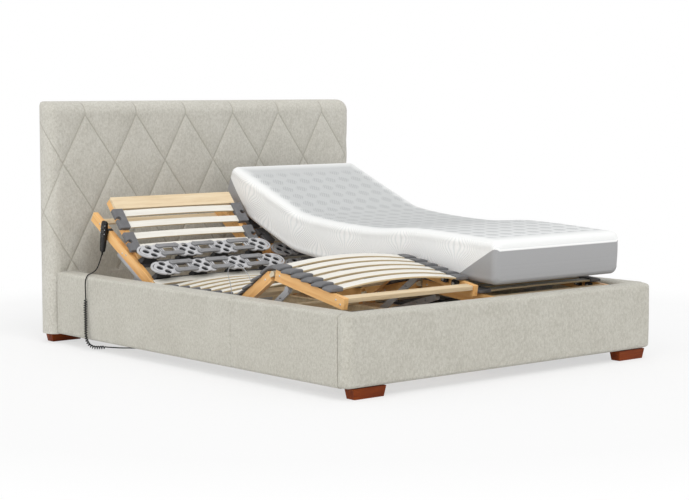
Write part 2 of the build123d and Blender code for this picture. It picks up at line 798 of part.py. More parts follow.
def mattress():
    """Five lengths, one for each section, parted on the planes that halve the bends."""
    top = [Vector(0, y, z) for y, z in MATTRESS_TOP]
    runs = [(b - a).normalized() for a, b in zip(top, top[1:])]
    cuts = []
    for place, before, after in zip(top, runs[:1] + runs, runs + runs[-1:]):
        along = (before + after).normalized()
        down = Vector(1, 0, 0).cross(along) * (MATTRESS_THICK / before.dot(along))
        cuts.append((along * (MATTRESS_GAP / 2), (place, place + down)))
    labels = [f"mattress_{part}" for part in ("head", "back", "seat", "thigh", "leg")]
    for label, (near, head_end), (far, foot_end) in zip(labels, cuts, cuts[1:]):
        corners = [corner + near for corner in head_end] + [corner - far for corner in foot_end[::-1]]
        mattress_piece(label, [(corner.Y, corner.Z) for corner in corners])


os.makedirs("parts", exist_ok=True)
headboard()
side_rail("left_side_rail", -1)
side_rail("right_side_rail", 1)
foot_rail()
feet()
support_brackets()
centre_beam()
base_frames()
seat_slats()
seat_caps()
seat_hinges()
drive_motors()
for one in BASES:
    back_frame(one)
    back_fittings(one)
    spring_plates(one)
    plate_carriers(one)
    lumbar_slat(one)
    pillow_frame(one)
    pillow_slats(one)
    pillow_caps(one)
    thigh_frame(one)
    thigh_slats(one)
    thigh_caps(one)
    thigh_fittings(one)
    leg_frame(one)
    leg_slats(one)
    leg_caps(one)
    leg_fittings(one)
    lever(f"{one.name}_back_lever", one, BACK_LEVER_Y, BACK_LEVER_REACH, one.back_arm)
    lever(f"{one.name}_leg_lever", one, LEG_LEVER_Y, LEG_LEVER_REACH, 180 - one.leg_arm)
handset()
for row, place in enumerate(KEY_PLACES, 1):
    handset_key(f"handset_key_{row}", place)
upper_lead()
cord("curly_cord", CURL_ROUTE, CURL_RADIUS)
floor_lead()
mattress()
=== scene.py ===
# %% [markdown]
# # An upholstered double bed with two motorised slatted bases
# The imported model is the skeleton: every wooden rail, hinge and lever already stands where it belongs, in metres,
# with the floor at zero height and the headboard towards +Y.  This lesson dresses it.  Hard pieces whose shape is
# right keep their solid and get a finish and softened edges.  Cloth, rubber, moulded plates and the cord are
# rebuilt, each one in the place that its solid holds.

# %% Load the frame
from functools import partialmethod
from math import cos, hypot, pi, radians, sin, tau

import bmesh
import bpy
import numpy as np
from mathutils import Matrix, Vector


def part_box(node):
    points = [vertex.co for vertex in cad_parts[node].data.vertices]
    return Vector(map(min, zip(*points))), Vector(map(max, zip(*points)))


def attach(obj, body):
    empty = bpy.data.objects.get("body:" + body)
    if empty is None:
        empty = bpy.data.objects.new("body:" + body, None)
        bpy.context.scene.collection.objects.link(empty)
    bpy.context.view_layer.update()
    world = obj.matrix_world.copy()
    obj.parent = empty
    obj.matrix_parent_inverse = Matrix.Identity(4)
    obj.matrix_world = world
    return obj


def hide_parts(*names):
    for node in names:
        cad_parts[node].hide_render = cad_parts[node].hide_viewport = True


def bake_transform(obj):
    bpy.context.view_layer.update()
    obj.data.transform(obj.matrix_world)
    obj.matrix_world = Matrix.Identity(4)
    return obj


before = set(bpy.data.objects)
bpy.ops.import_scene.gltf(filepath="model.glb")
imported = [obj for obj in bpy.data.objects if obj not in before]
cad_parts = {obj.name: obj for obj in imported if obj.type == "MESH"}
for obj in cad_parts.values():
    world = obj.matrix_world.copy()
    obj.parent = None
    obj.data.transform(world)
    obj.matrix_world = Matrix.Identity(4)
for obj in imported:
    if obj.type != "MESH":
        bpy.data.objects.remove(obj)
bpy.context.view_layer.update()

MM = 0.001
scene = bpy.context.scene
scene.view_settings.view_transform = "Standard"

# %% [markdown]
# ## Camera and studio
# The photograph was taken from beyond the left foot corner, a little above the mattress, with a long lens.  Long
# lenses keep the far headboard nearly as large as the near rail, so the lens matters as much as the place.  The
# light is a broad, soft studio: an even surround, one large window in front and above, and a weak one from the left.

# %% Camera
CAMERA_PLACE = (-5.4303, -6.4536, 1.2360)
CAMERA_YAW = -40.32
CAMERA_PITCH = -5.221
LENS = 94.74
SENSOR = 36

camera = bpy.data.objects.new("camera", bpy.data.cameras.new("camera"))
camera.location = CAMERA_PLACE
camera.rotation_euler = (radians(90 + CAMERA_PITCH), 0, radians(CAMERA_YAW))
camera.data.lens = LENS
camera.data.sensor_width = SENSOR
camera.data.clip_end = 100
scene.collection.objects.link(camera)
scene.camera = camera
print("camera at", CAMERA_PLACE, "lens", LENS)

# %% [markdown]
# ## Short calls for shader nodes
# A finish is a small network of nodes.  Writing each node and link by hand takes many lines, so one helper makes a
# node, sets its options and fills its inputs.  What leaves a node is wrapped as a signal, which can be added,
# multiplied or compared like any number, and each sign makes the Math node for it.  So the networks below read as
# formulas.  Colours are written as the eye reads them on a screen, from 0 to 255, and turned into linear light here.


# %% Node helpers
class Signal:
    """What leaves a node: a number, a colour or a place."""

    def __init__(self, socket):
        self.socket = socket
        self.tree = socket.id_data

    def math(self, operation, other=0.0):
        return flow(self.tree, "Math", "Value", {0: self, 1: other}, operation=operation)

    def __rsub__(self, other):
        return flow(self.tree, "Math", "Value", {0: other, 1: self}, operation="SUBTRACT")

    __add__ = partialmethod(math, "ADD")
    __sub__ = partialmethod(math, "SUBTRACT")
    __mul__ = partialmethod(math, "MULTIPLY")
    __truediv__ = partialmethod(math, "DIVIDE")
    __gt__ = partialmethod(math, "GREATER_THAN")
    __lt__ = partialmethod(math, "LESS_THAN")
    __abs__ = partialmethod(math, "ABSOLUTE")


def colour(red, green, blue):
    linear = []
    for level in (red, green, blue):
        share = level / 255
        linear.append(share / 12.92 if share <= 0.04045 else ((share + 0.055) / 1.055) ** 2.4)
    return (*linear, 1.0)


def fill(socket, value):
    """A signal is linked to the socket, and anything else becomes its value."""
    if isinstance(value, Signal):
        value.tree.links.new(value.socket, socket)
    else:
        socket.default_value = value


def node(tree, kind, inputs=None, **options):
    made = tree.nodes.new("ShaderNode" + kind)
    for name, value in options.items():
        setattr(made, name, value)
    for name, value in (inputs or {}).items():
        fill(made.inputs[name], value)
    return made


def flow(tree, kind, output, inputs=None, **options):
    """One output of a new node."""
    return Signal(node(tree, kind, inputs, **options).outputs[output])


def ramp(factor, *stops):
    """Colour ramp through the given (place, colour) stops."""
    made = node(factor.tree, "ValToRGB", {"Fac": factor})
    elements = made.color_ramp.elements
    while len(elements) < len(stops):
        elements.new(1)
    for element, (place, shade) in zip(elements, stops):
        element.position = place
        element.color = colour(*shade)
    return Signal(made.outputs["Color"])


def grey(factor, low, high, start=0.0, end=1.0):
    """A number that runs from low to high while the factor runs from start to end."""
    limits = {"From Min": start, "From Max": end, "To Min": low, "To Max": high}
    return flow(factor.tree, "MapRange", "Result", {"Value": factor, **limits})


def rising(factor, start, end):
    """0 up to the start, 1 from the end on."""
    return grey(factor, 0.0, 1.0, start, end)


def sine(number):
    return number.math("SINE")


def noise(place, scale, detail=2.0, roughness=0.5):
    inputs = {"Vector": place, "Scale": scale, "Detail": detail, "Roughness": roughness}
    return flow(place.tree, "TexNoise", "Fac", inputs)


def stretched(place, x, y, z):
    return flow(place.tree, "Mapping", "Vector", {"Vector": place, "Scale": (x, y, z)})


def crossways(place):
    """The place after a quarter turn about Z, so that what runs along Y runs across."""
    return flow(place.tree, "Mapping", "Vector", {"Vector": place, "Rotation": (0, 0, pi / 2)})


def parts(place):
    outputs = node(place.tree, "SeparateXYZ", {"Vector": place}).outputs
    return [Signal(outputs[axis]) for axis in "XYZ"]


def mixed(factor, first, second):
    """Colour that is the first where the factor is 0 and the second where it is 1."""
    inputs = {0: factor, 6: first, 7: second}
    return flow(factor.tree, "Mix", 2, inputs, data_type="RGBA")


def bumped(height, depth, below=None):
    """Bump of a height in 0..1 that stands for the given depth in metres."""
    inputs = {"Height": height, "Distance": depth, "Strength": 1.0}
    if below:
        inputs["Normal"] = below
    return flow(height.tree, "Bump", "Normal", inputs)


def feed(shader, **inputs):
    for name, value in inputs.items():
        fill(shader.inputs[name.replace("_", " ")], value)


def blank_finish(name, **values):
    """A material and its shader, with the given shader values set."""
    material = bpy.data.materials.new(name)
    material.use_nodes = True
    shader = material.node_tree.nodes["Principled BSDF"]
    feed(shader, **values)
    return material, shader


def own_place(shader):
    """A point's place in its object, which stays put when the body moves."""
    return flow(shader.id_data, "TexCoord", "Object")


print("node helpers ready")

# %% [markdown]
# ## The surround of light
# A uniform sky gives flat, shadowless light.  Two wide suns add the soft shading of studio windows: a strong one from
# the front and a weaker one from the left.  A sun with a wide angle throws a blurred shadow, as a window does, and
# it lights the whole bed evenly.  The camera, mirrors and glass see a white backdrop instead of the sky, and the
# floor fades into it, so that no horizon shows.

# %% World, lamps and floor
SKY = 0.74
SUNS = (("front_window", (-0.24, -1.0, 1.15), 1.0, 38), ("left_window", (-1.0, -0.2, 0.5), 0.6, 50))
WHITE = (1, 1, 1, 1)
FLOOR_GREY = (0.86, 0.86, 0.86, 1)
FLOOR_RADIUS = 30
FLOOR_FADE = (1.6, 3.2)
LEAST_WHITE = 0.6


def on_rays(tree, *kinds):
    """1 on rays of the given kinds and 0 on all others."""
    path = node(tree, "LightPath").outputs
    found, *others = [Signal(path[f"Is {kind} Ray"]) for kind in kinds]
    for ray in others:
        found = found.math("MAXIMUM", ray)
    return found


world = bpy.data.worlds.new("studio")
scene.world = world
world.use_nodes = True
tree = world.node_tree
tree.nodes.clear()
level = grey(on_rays(tree, "Camera", "Glossy", "Transmission"), SKY, 1.0)
backdrop = flow(tree, "Background", "Background", {"Color": WHITE, "Strength": level})
node(tree, "OutputWorld", {"Surface": backdrop})

for name, towards, strength, width in SUNS:
    lamp = bpy.data.lights.new(name, "SUN")
    lamp.energy = strength
    lamp.angle = radians(width)
    holder = bpy.data.objects.new(name, lamp)
    holder.rotation_euler = Vector(towards).to_track_quat("Z", "Y").to_euler()
    scene.collection.objects.link(holder)

floor_mesh = bpy.data.meshes.new("floor")
disc = bmesh.new()
bmesh.ops.create_circle(disc, cap_ends=True, radius=FLOOR_RADIUS, segments=64)
disc.to_mesh(floor_mesh)
disc.free()
floor = bpy.data.objects.new("floor", floor_mesh)
scene.collection.objects.link(floor)

floor_paint, shader = blank_finish("floor_paint", Roughness=0.9, Base_Color=FLOOR_GREY)
tree = floor_paint.node_tree
reach = flow(tree, "VectorMath", "Value", {0: own_place(shader)}, operation="LENGTH")
faded = rising(reach, *FLOOR_FADE).math("MAXIMUM", LEAST_WHITE)
share = on_rays(tree, "Camera", "Glossy") * faded
white = flow(tree, "Emission", "Emission", {"Color": WHITE, "Strength": 1.0})
lit = flow(tree, "MixShader", "Shader", {0: share, 1: Signal(shader.outputs["BSDF"]), 2: white})
fill(tree.nodes["Material Output"].inputs["Surface"], lit)
floor_mesh.materials.append(floor_paint)
print("studio:", len(SUNS), "suns and a sky of", SKY)

# %% [markdown]
# ## Finishes of cloth
# The surround is covered in a soft chenille: pale grey-beige, mottled where the pile lies in different directions,
# with a fine cross weave that only shows close up.  Noise at three scales gives the mottling, and two crossed waves
# the weave.  The places are the object's own, so nothing slides when a section moves.

# %% Chenille
SEAM_PAINTED_SHADE = (178, 174, 162)


def chenille(name, shades, sewn=None):
    """Cloth of the surround in three shades; sewn gives 0 in a seam and 1 beside it, from a place, and a seam is
    painted darker as painted shade in its crease.
    """
    material, shader = blank_finish(
        name, Roughness=0.92, Sheen_Weight=0.2, Sheen_Roughness=0.6, Specular_IOR_Level=0.2
    )
    spot = own_place(shader)
    cloud = noise(spot, 7)
    fleck = noise(stretched(spot, 125, 125, 80), 1.0, 4, 0.65)
    pile = noise(spot, 420, 3, 0.6)
    mottle = cloud * 0.12 + fleck * 0.5 + pile * 0.38
    shade = ramp(mottle, *zip((0.4, 0.5, 0.61), shades))
    thread = {"Vector": spot, "Scale": 190, "Distortion": 2.5, "Detail": 2}
    warp, weft = [flow(spot.tree, "TexWave", "Fac", thread, bands_direction=axis) for axis in "XZ"]
    relief = bumped(fleck, 0.0015, bumped(warp + weft, 0.0003))
    if sewn:
        beside = sewn(spot)
        # A seam is painted darker here: painted shade in the crease of the seam.
        shade = mixed(beside, colour(*SEAM_PAINTED_SHADE), shade)
        relief = bumped(beside, 0.0015, relief)
    feed(shader, Base_Color=shade, Normal=relief)
    return material


# This copy, for the rails, is a little darker than the headboard's copy of the same cloth, which is painted lighter.
CHENILLE = chenille("chenille", ((178, 175, 163), (193, 190, 179), (206, 204, 194)))
print("cloth:", CHENILLE.name)

# %% [markdown]
# ## Finishes of wood
# The rails are oiled beech: warm, close grained, with short dark flecks along the length.  Beech cross bars are
# paler.  The grain runs along each rail, and the rails are tilted, so the finish first turns a place into the
# section's own axes.  There it can also tell a rail from a bar, and finds the bars under the suspension plates, which
# are painted dark grey as painted shade of the plates above them.  The slats are birch, coated white on top, with the
# cream layers of the ply on their edges, painted a little darker as painted shade between the slats.

# %% Beech, slat and foot wood
BASE_MIDDLE = 0.4
RAIL_FROM = {"pillow": 0.3196, "other": 0.3497}
PLANK_FROM = 0.0241
# Below this place along the back section the bars are painted dark grey, as painted shade under the plates.
PAINTED_SHADE_TO = 0.45


def streaks(place, along, across):
    """Grain in 0..1: long streaks along Y of the given place, with fine pores."""
    broad = noise(stretched(place, across, along, across), 1.0, 4, 0.6)
    pores = noise(stretched(place, across * 6, along * 5, across * 6), 1.0, 3, 0.6)
    return broad * 0.72 + pores * 0.28


def beech(section, own_axes):
    """Warm rails along a section, paler bars across it, and bars low on the back painted dark grey as painted shade.
    """
    material, shader = blank_finish("beech_" + section, Roughness=0.5, Coat_Weight=0.12, Coat_Roughness=0.35)
    back = own_axes.inverted()
    into = {"Location": back.to_translation(), "Rotation": back.to_euler()}
    spot = flow(shader.id_data, "Mapping", "Vector", {"Vector": own_place(shader), **into})
    lengthwise = streaks(spot, 3, 55)
    crosswise = streaks(crossways(spot), 3, 55)
    rail = ramp(lengthwise, (0.3, (216, 154, 86)), (0.5, (238, 185, 117)), (0.72, (246, 202, 139)))
    bar = ramp(crosswise, (0.3, (206, 180, 140)), (0.5, (224, 202, 166)), (0.72, (234, 217, 187)))
    x, y, z = parts(spot)
    from_middle = abs(abs(x) - BASE_MIDDLE)
    if "pillow" in section:
        is_rail = (from_middle > RAIL_FROM["pillow"]) * (z < PLANK_FROM)
    else:
        is_rail = from_middle > RAIL_FROM["other"]
    # Bars low on the back section are painted dark grey: painted shade under the suspension plates.
    if "back" in section:
        painted_shade_bar = ramp(crosswise, (0.3, (58, 58, 61)), (0.7, (76, 76, 79)))
        bar = mixed(y < PAINTED_SHADE_TO, bar, painted_shade_bar)
    feed(shader, Base_Color=mixed(is_rail, bar, rail), Normal=bumped(lengthwise, 0.0006))
    return material


def slat_wood():
    material, shader = blank_finish("slat_wood", Roughness=0.42)
    grain = streaks(crossways(own_place(shader)), 2, 80)
    face = ramp(grain, (0.3, (220, 216, 205)), (0.55, (232, 229, 220)), (0.75, (240, 238, 231)))
    # The ply edges keep a cream colour of their own, made darker as painted shade in the gaps between the slats.
    edge = ramp(grain, (0.3, (192, 170, 130)), (0.55, (210, 191, 154)), (0.75, (222, 206, 174)))
    facing = parts(flow(shader.id_data, "TexCoord", "Normal"))[2]
    shade = mixed(rising(facing, 0.45, 0.62), edge, face)
    feed(shader, Base_Color=shade, Normal=bumped(grain, 0.0004))
    return material


def foot_wood():
    material, shader = blank_finish("foot_wood", Roughness=0.45, Specular_IOR_Level=0.16)
    grain = streaks(crossways(own_place(shader)), 5, 60)
    shade = ramp(grain, (0.3, (86, 32, 4)), (0.5, (118, 48, 6)), (0.75, (144, 68, 12)))
    feed(shader, Base_Color=shade, Normal=bumped(grain, 0.0005))
    return material


SLAT_WOOD = slat_wood()
FOOT_WOOD = foot_wood()
print("wood:", SLAT_WOOD.name, FOOT_WOOD.name)

# %% [markdown]
# ## Finishes of plastic, rubber and metal
# Moulded pieces differ mostly in colour and gloss, so one recipe serves them: a fine moulding grain in the bump, a
# slow cloud in the colour, and a little more roughness where hands or rubbing have dulled it.


# %% Moulded and metal finishes
def moulded(name, low, high, roughness, grain=900, depth=0.0002, metal=0.0, gloss=0.5):
    """Finish between two shades; the grain is how fine the bump is and the depth how high."""
    material, shader = blank_finish(name, Metallic=metal, Specular_IOR_Level=gloss)
    spot = own_place(shader)
    cloud = noise(spot, 26, 4, 0.6)
    feed(
        shader,
        Base_Color=ramp(cloud, (0.3, low), (0.7, high)),
        Roughness=grey(cloud, roughness - 0.08, roughness + 0.1, 0.3, 0.7),
        Normal=bumped(noise(spot, grain, 2, 0.6), depth),
    )
    return material


CAP_RUBBER = moulded("cap_rubber", (95, 95, 97), (114, 114, 116), 0.62, 700, 0.0004)
PLATE_PLASTIC = moulded("plate_plastic", (178, 178, 181), (195, 195, 197), 0.4)
LINK_PLASTIC = moulded("link_plastic", (124, 124, 126), (140, 140, 142), 0.55)
MOUNT_PLASTIC = moulded("mount_plastic", (24, 24, 26), (38, 38, 41), 0.42)
HINGE_PLASTIC = moulded("hinge_plastic", (206, 192, 164), (226, 214, 190), 0.45)
MOTOR_PLASTIC = moulded("motor_plastic", (28, 28, 30), (42, 42, 45), 0.5, 500, 0.0006)
HANDSET_PLASTIC = moulded("handset_plastic", (12, 11, 11), (22, 21, 21), 0.24, 1200, 0.0001, 0.0, 0.3)
KEY_PLASTIC = moulded("key_plastic", (30, 29, 30), (44, 43, 44), 0.4, 1200, 0.0001)
MARK_PAINT = moulded("mark_paint", (205, 205, 205), (228, 228, 228), 0.5)
CORD_JACKET = moulded("cord_jacket", (12, 12, 12), (24, 24, 25), 0.46, 1500, 0.0002, 0.0, 0.2)
STEEL = moulded("grey_steel", (156, 157, 161), (178, 179, 182), 0.42, 600, 0.0002, 0.2)
BRIGHT_STEEL = moulded("bright_steel", (196, 196, 198), (222, 222, 224), 0.25, 900, 0.0001, 0.9)
BLACK_STEEL = moulded("black_steel", (30, 30, 32), (46, 46, 48), 0.5, 600, 0.0003)
print("moulded finishes:", CAP_RUBBER.name, PLATE_PLASTIC.name, STEEL.name)

# %% [markdown]
# ## Sections and their solids
# Each base is a chain of sections that turn about pivots across the bed.  In a section's own axes X goes across, Y
# along it to the head and Z out of it, so a cap or a plate is upright there.  A node may hold many solids, one for
# each cap, and the walk over its edges finds them, so every rebuilt cap takes its place from the frame.

# %% Axes of the sections
PIVOT_HEIGHT = 285
BACK_PIVOT = 348
THIGH_PIVOT = -252
PILLOW_PIVOT = 250
THIGH_LENGTH = 296
BACK_ANGLE = 31
PILLOW_ANGLE = {"left": 17.4, "right": 0}
THIGH_ANGLE = {"left": 33, "right": 13}
LEG_ANGLE = {"left": 10.7, "right": 5.5}
CENTRE = {"left": -0.4, "right": 0.4}
SIDES = ("left", "right")
HANDS = (-1, 1)


def axes(y, z, degrees):
    return Matrix.Translation((0, y, z)) @ Matrix.Rotation(radians(degrees), 4, "X")


SECTION = {"seat": axes(0, PIVOT_HEIGHT * MM, 0)}
for side in SIDES:
    back = axes(BACK_PIVOT * MM, PIVOT_HEIGHT * MM, BACK_ANGLE)
    thigh = axes(THIGH_PIVOT * MM, PIVOT_HEIGHT * MM, -THIGH_ANGLE[side])
    pillow_at = back @ Vector((0, PILLOW_PIVOT * MM, 0))
    knee_at = thigh @ Vector((0, -THIGH_LENGTH * MM, 0))
    SECTION[f"{side}_back"] = back
    SECTION[f"{side}_thigh"] = thigh
    SECTION[f"{side}_pillow"] = axes(pillow_at.y, pillow_at.z, BACK_ANGLE + PILLOW_ANGLE[side])
    SECTION[f"{side}_leg"] = axes(knee_at.y, knee_at.z, LEG_ANGLE[side])
BEECH = {section: beech(section, own_axes) for section, own_axes in SECTION.items()}


def solids(name, own_axes):
    """Lowest and highest corner of each separate solid of a node, in a section's axes."""
    shape = bmesh.new()
    shape.from_mesh(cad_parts[name].data)
    bmesh.ops.remove_doubles(shape, verts=shape.verts, dist=1e-5)
    into = own_axes.inverted()
    left = set(shape.verts)
    boxes = []
    while left:
        grow = [left.pop()]
        points = []
        while grow:
            corner = grow.pop()
            points.append(into @ corner.co)
            for edge in corner.link_edges:
                other = edge.other_vert(corner)
                if other in left:
                    left.remove(other)
                    grow.append(other)
        points = np.array(points)
        boxes.append((points.min(0), points.max(0)))
    shape.free()
    return sorted(boxes, key=lambda box: tuple(np.round(box[0], 4)))


print("sections:", sorted(SECTION), "each with its own beech")

# %% [markdown]
# ## Dressing a solid that stays
# An imported solid has razor edges and a doubled corner at each face.  Welding the corners and then bevelling the
# sharp edges lets them catch the light as worn or sanded edges do.  All of it is in modifiers, so the solid itself
# stays as it was.


# %% Dress the solids that stay
def dress(name, finish, edge=1.5):
    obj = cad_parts[name]
    obj.data.materials.clear()
    obj.data.materials.append(finish)
    if "custom_normal" in obj.data.attributes:
        obj.data.attributes.remove(obj.data.attributes["custom_normal"])
    obj.data.shade_smooth()
    weld = obj.modifiers.new("weld", "WELD")
    weld.merge_threshold = 1e-5
    soften = obj.modifiers.new("soften", "BEVEL")
    soften.width = edge * MM
    soften.segments = 2
    soften.limit_method = "ANGLE"
    soften.angle_limit = radians(40)
    obj.modifiers.new("even", "WEIGHTED_NORMAL")


dress("feet", FOOT_WOOD, 2)
dress("support_brackets", BLACK_STEEL, 0.8)
dress("centre_beam", BEECH["seat"], 2)
dress("base_frames", BEECH["seat"], 2)
dress("seat_slats", SLAT_WOOD, 1.2)
dress("seat_hinges", HINGE_PLASTIC, 1)
dress("drive_motors", MOTOR_PLASTIC, 5)
for side in SIDES:
    for section in ("back", "pillow", "thigh", "leg"):
        dress(f"{side}_{section}_frame", BEECH[f"{side}_{section}"], 2)
    for section in ("pillow", "thigh", "leg"):
        dress(f"{side}_{section}_slats", SLAT_WOOD, 1.2)
    dress(f"{side}_lumbar_slat", SLAT_WOOD, 1.2)
    dress(f"{side}_back_fittings", BRIGHT_STEEL, 0.8)
    dress(f"{side}_thigh_fittings", HINGE_PLASTIC, 1)
    dress(f"{side}_leg_fittings", HINGE_PLASTIC, 1)
    dress(f"{side}_back_lever", STEEL, 0.8)
    dress(f"{side}_leg_lever", STEEL, 0.8)
for key in (1, 2, 3):
    dress(f"handset_key_{key}", KEY_PLASTIC, 1)
print("dressed", sum(len(obj.modifiers) > 0 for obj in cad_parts.values()), "solids")

# %% [markdown]
# ## Mesh helpers
# Most rebuilt pieces are lofts: rings of equal count, skinned one to the next and closed at both ends.  A rounded
# rectangle with a power between 2 and 8 is a ring that runs from an ellipse to a box.  Flat moulded pieces are cut
# from an outline with holes, which a filled curve with a bevel gives at once.


# %% Loft, ring, outline and piece
def rounded(angle, power):
    """Point of a unit curve: a circle at power 2, and nearer a square as the power grows."""
    return [abs(c) ** (2 / power) * (1 if c > 0 else -1) for c in (cos(angle), sin(angle))]


def ring(place, half_a, half_b, along_a, along_b, power=4.0, count=28):
    """Closed ring about a place, its half sizes along two directions."""
    points = []
    for i in range(count):
        a, b = rounded(tau * (i + 0.5) / count, power)
        points.append(Vector(place) + Vector(along_a) * (a * half_a) + Vector(along_b) * (b * half_b))
    return points


def loft(shape, rings):
    """Skin from each ring to the next, closed at both ends."""
    rows = [[shape.verts.new(point) for point in points] for points in rings]
    count = len(rows[0])
    for near, far in zip(rows, rows[1:]):
        for i in range(count):
            shape.faces.new((near[i], near[(i + 1) % count], far[(i + 1) % count], far[i]))
    shape.faces.new(rows[0][::-1])
    shape.faces.new(rows[-1])


def block(shape, low, high, edge):
    """A box with rounded edges between two corners."""
    made = bmesh.ops.create_cube(shape, size=1)["verts"]
    low, high = Vector(low), Vector(high)
    for vert in made:
        vert.co = Vector([a + (c + 0.5) * (b - a) for a, b, c in zip(low, high, vert.co)])
    edges = list(dict.fromkeys(one for vert in made for one in vert.link_edges))
    bmesh.ops.bevel(shape, geom=edges, offset=edge, segments=2, profile=0.5, affect="EDGES")


def rod(shape, start, end, radius, edge=0.0006, count=20):
    """A round bar with chamfered ends."""
    start, end = Vector(start), Vector(end)
    along = (end - start).normalized()
    side = along.orthogonal().normalized()
    other = along.cross(side)
    length = (end - start).length
    stations = ((0, radius - edge), (edge, radius), (length - edge, radius), (length, radius - edge))
    loft(shape, [ring(start + along * s, r, r, side, other, 2, count) for s, r in stations])


def cut_out(loops, low, high, edge):
    """Mesh of a flat piece: the first loop is its outline and the others are holes."""
    curve = bpy.data.curves.new("outline", "CURVE")
    curve.dimensions = "2D"
    curve.fill_mode = "BOTH"
    curve.extrude = (high - low) / 2 - edge
    curve.bevel_depth = edge
    curve.bevel_resolution = 2
    curve.offset = -edge
    for loop in loops:
        spline = curve.splines.new("POLY")
        spline.points.add(len(loop) - 1)
        for point, (x, y) in zip(spline.points, loop):
            point.co = (x, y, 0, 1)
        spline.use_cyclic_u = True
    holder = bpy.data.objects.new("outline", curve)
    mesh = bpy.data.meshes.new_from_object(holder)
    bpy.data.objects.remove(holder)
    bpy.data.curves.remove(curve)
    mesh.transform(Matrix.Translation((0, 0, (low + high) / 2)))
    return mesh


def add_mesh(shape, mesh, place):
    mesh.transform(place)
    shape.from_mesh(mesh)
    bpy.data.meshes.remove(mesh)


def piece(name, shape, finish, body, stands_for=(), place=None, sharp=38):
    """Object made of a bmesh, with its finish, riding on a body."""
    bmesh.ops.remove_doubles(shape, verts=shape.verts, dist=1e-6)
    bmesh.ops.recalc_face_normals(shape, faces=shape.faces)
    mesh = bpy.data.meshes.new(name)
    shape.to_mesh(mesh)
    shape.free()
    if place:
        mesh.transform(place)
    mesh.shade_smooth()
    if sharp:
        mesh.set_sharp_from_angle(angle=radians(sharp))
    mesh.materials.append(finish)
    obj = bpy.data.objects.new(name, mesh)
    scene.collection.objects.link(obj)
    if stands_for:
        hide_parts(*stands_for)
    if body:
        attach(obj, body)
    return obj


print("mesh helpers ready")

# %% [markdown]
# ## The handset's cord
# One cord leaves the bottom of the handset, lies over the side rail, hangs down outside as a curly cord, and goes
# under the bed into the motor.  A cord is a fixed length of something flexible, so it is one tube along one line.
# The line is three smooth splines: the lead, the axis of the curl and the run under the bed.  A few control points
# each are enough, because a spline of order three cuts the corners softly, as a hanging lead does.

# %% Routes of the cord
LEAD_RADIUS = 2.8
CURL_RADIUS = 8.3
CURL_PITCH = 11
HANDSET_AT = Vector((-789, 768, 522))
HANDSET_LEAN = radians(10)
HANDSET_UP = Vector((0, -sin(HANDSET_LEAN), cos(HANDSET_LEAN)))
HANDSET_SIZE = (42, 150, 20)
RAIL_TOP = 345
OUTSIDE = -920.5
HANG_Y = 722
CURL_TOP = 246
FLOOR_HEIGHT = 3.3
SOCKET = (-400, 60, 98)

lead_end = HANDSET_AT - HANDSET_UP * (HANDSET_SIZE[1] / 2 + 0.8)


def beside(base, *offsets):
    """Places at the given offsets from a base, all in millimetres."""
    return [tuple(a + b for a, b in zip(base, offset)) for offset in offsets]


LEAD_ROUTE = (
    beside(lead_end, (0, 0, 0), (-1, 10, -26), (-6, 20, -56), (-20, 20, -82))
    + beside((lead_end.x, lead_end.y, RAIL_TOP), (-48, 4, 10), (-82, -24, 7))
    + beside((OUTSIDE, HANG_Y, RAIL_TOP), (16, 10, 5), (-1, 3, -20))
    + beside((OUTSIDE, HANG_Y, CURL_TOP), (-2, 0, 38), (0, 2, 0.8))
)
CURL_ROUTE = (
    beside((OUTSIDE, HANG_Y, CURL_TOP), (0, 2, 0))
    + beside((OUTSIDE, HANG_Y, 0), (-3, 4, 198), (-2, 1, 152), (-5, -5, 108), (-9, -10, 70))
    + beside((OUTSIDE, HANG_Y, 0), (-4, -16, 34), (20, -22, 13), (58, -30, 10), (88, -40, 10.2))
)
curl_end = CURL_ROUTE[-1]
below_end = (curl_end[0], curl_end[1], FLOOR_HEIGHT)
below_socket = (SOCKET[0], SOCKET[1], FLOOR_HEIGHT)
FLOOR_ROUTE = (
    beside(curl_end, (0.8, -0.3, 0), (26, -8, -3.2))
    + beside(below_end, (60, -24, 0), (104, -62, 0), (132, -118, 0), (178, -166, 0), (226, -224, 0))
    + beside(below_end, (262, -292, 0), (312, -352, 0), (356, -420, 0), (398, -488, 0))
    + beside(below_socket, (-14, 66, 0), (-8, 28, 10), (-2, 8, 38))
    + beside(SOCKET, (0, 0, -24), (0.5, 0, -0.8))
)


def smooth_curve(name, places):
    """Curve of a smooth spline that has the given places, in millimetres, as its controls."""
    curve = bpy.data.curves.new(name, "CURVE")
    curve.dimensions = "3D"
    spline = curve.splines.new("NURBS")
    spline.points.add(len(places) - 1)
    for point, place in zip(spline.points, places):
        point.co = (*[value * MM for value in place], 1)
    spline.order_u = 3
    spline.use_endpoint_u = True
    return curve


def along_spline(places):
    """Close points along the smooth spline."""
    curve = smooth_curve("route", places)
    holder = bpy.data.objects.new("route", curve)
    mesh = bpy.data.meshes.new_from_object(holder)
    line = [vert.co.copy() for vert in mesh.vertices]
    bpy.data.objects.remove(holder)
    bpy.data.curves.remove(curve)
    bpy.data.meshes.remove(mesh)
    return line


def frames_along(line):
    """Direction and one side direction at each point, carried along without twisting."""
    side = Vector((1, 0, 0))
    found = []
    for before, after in zip([line[0]] + line[:-1], line[1:] + [line[-1]]):
        along = (after - before).normalized()
        side = (side - along * side.dot(along)).normalized()
        found.append((along, side))
    return found


print("cord routes of", len(LEAD_ROUTE), len(CURL_ROUTE), len(FLOOR_ROUTE), "points")

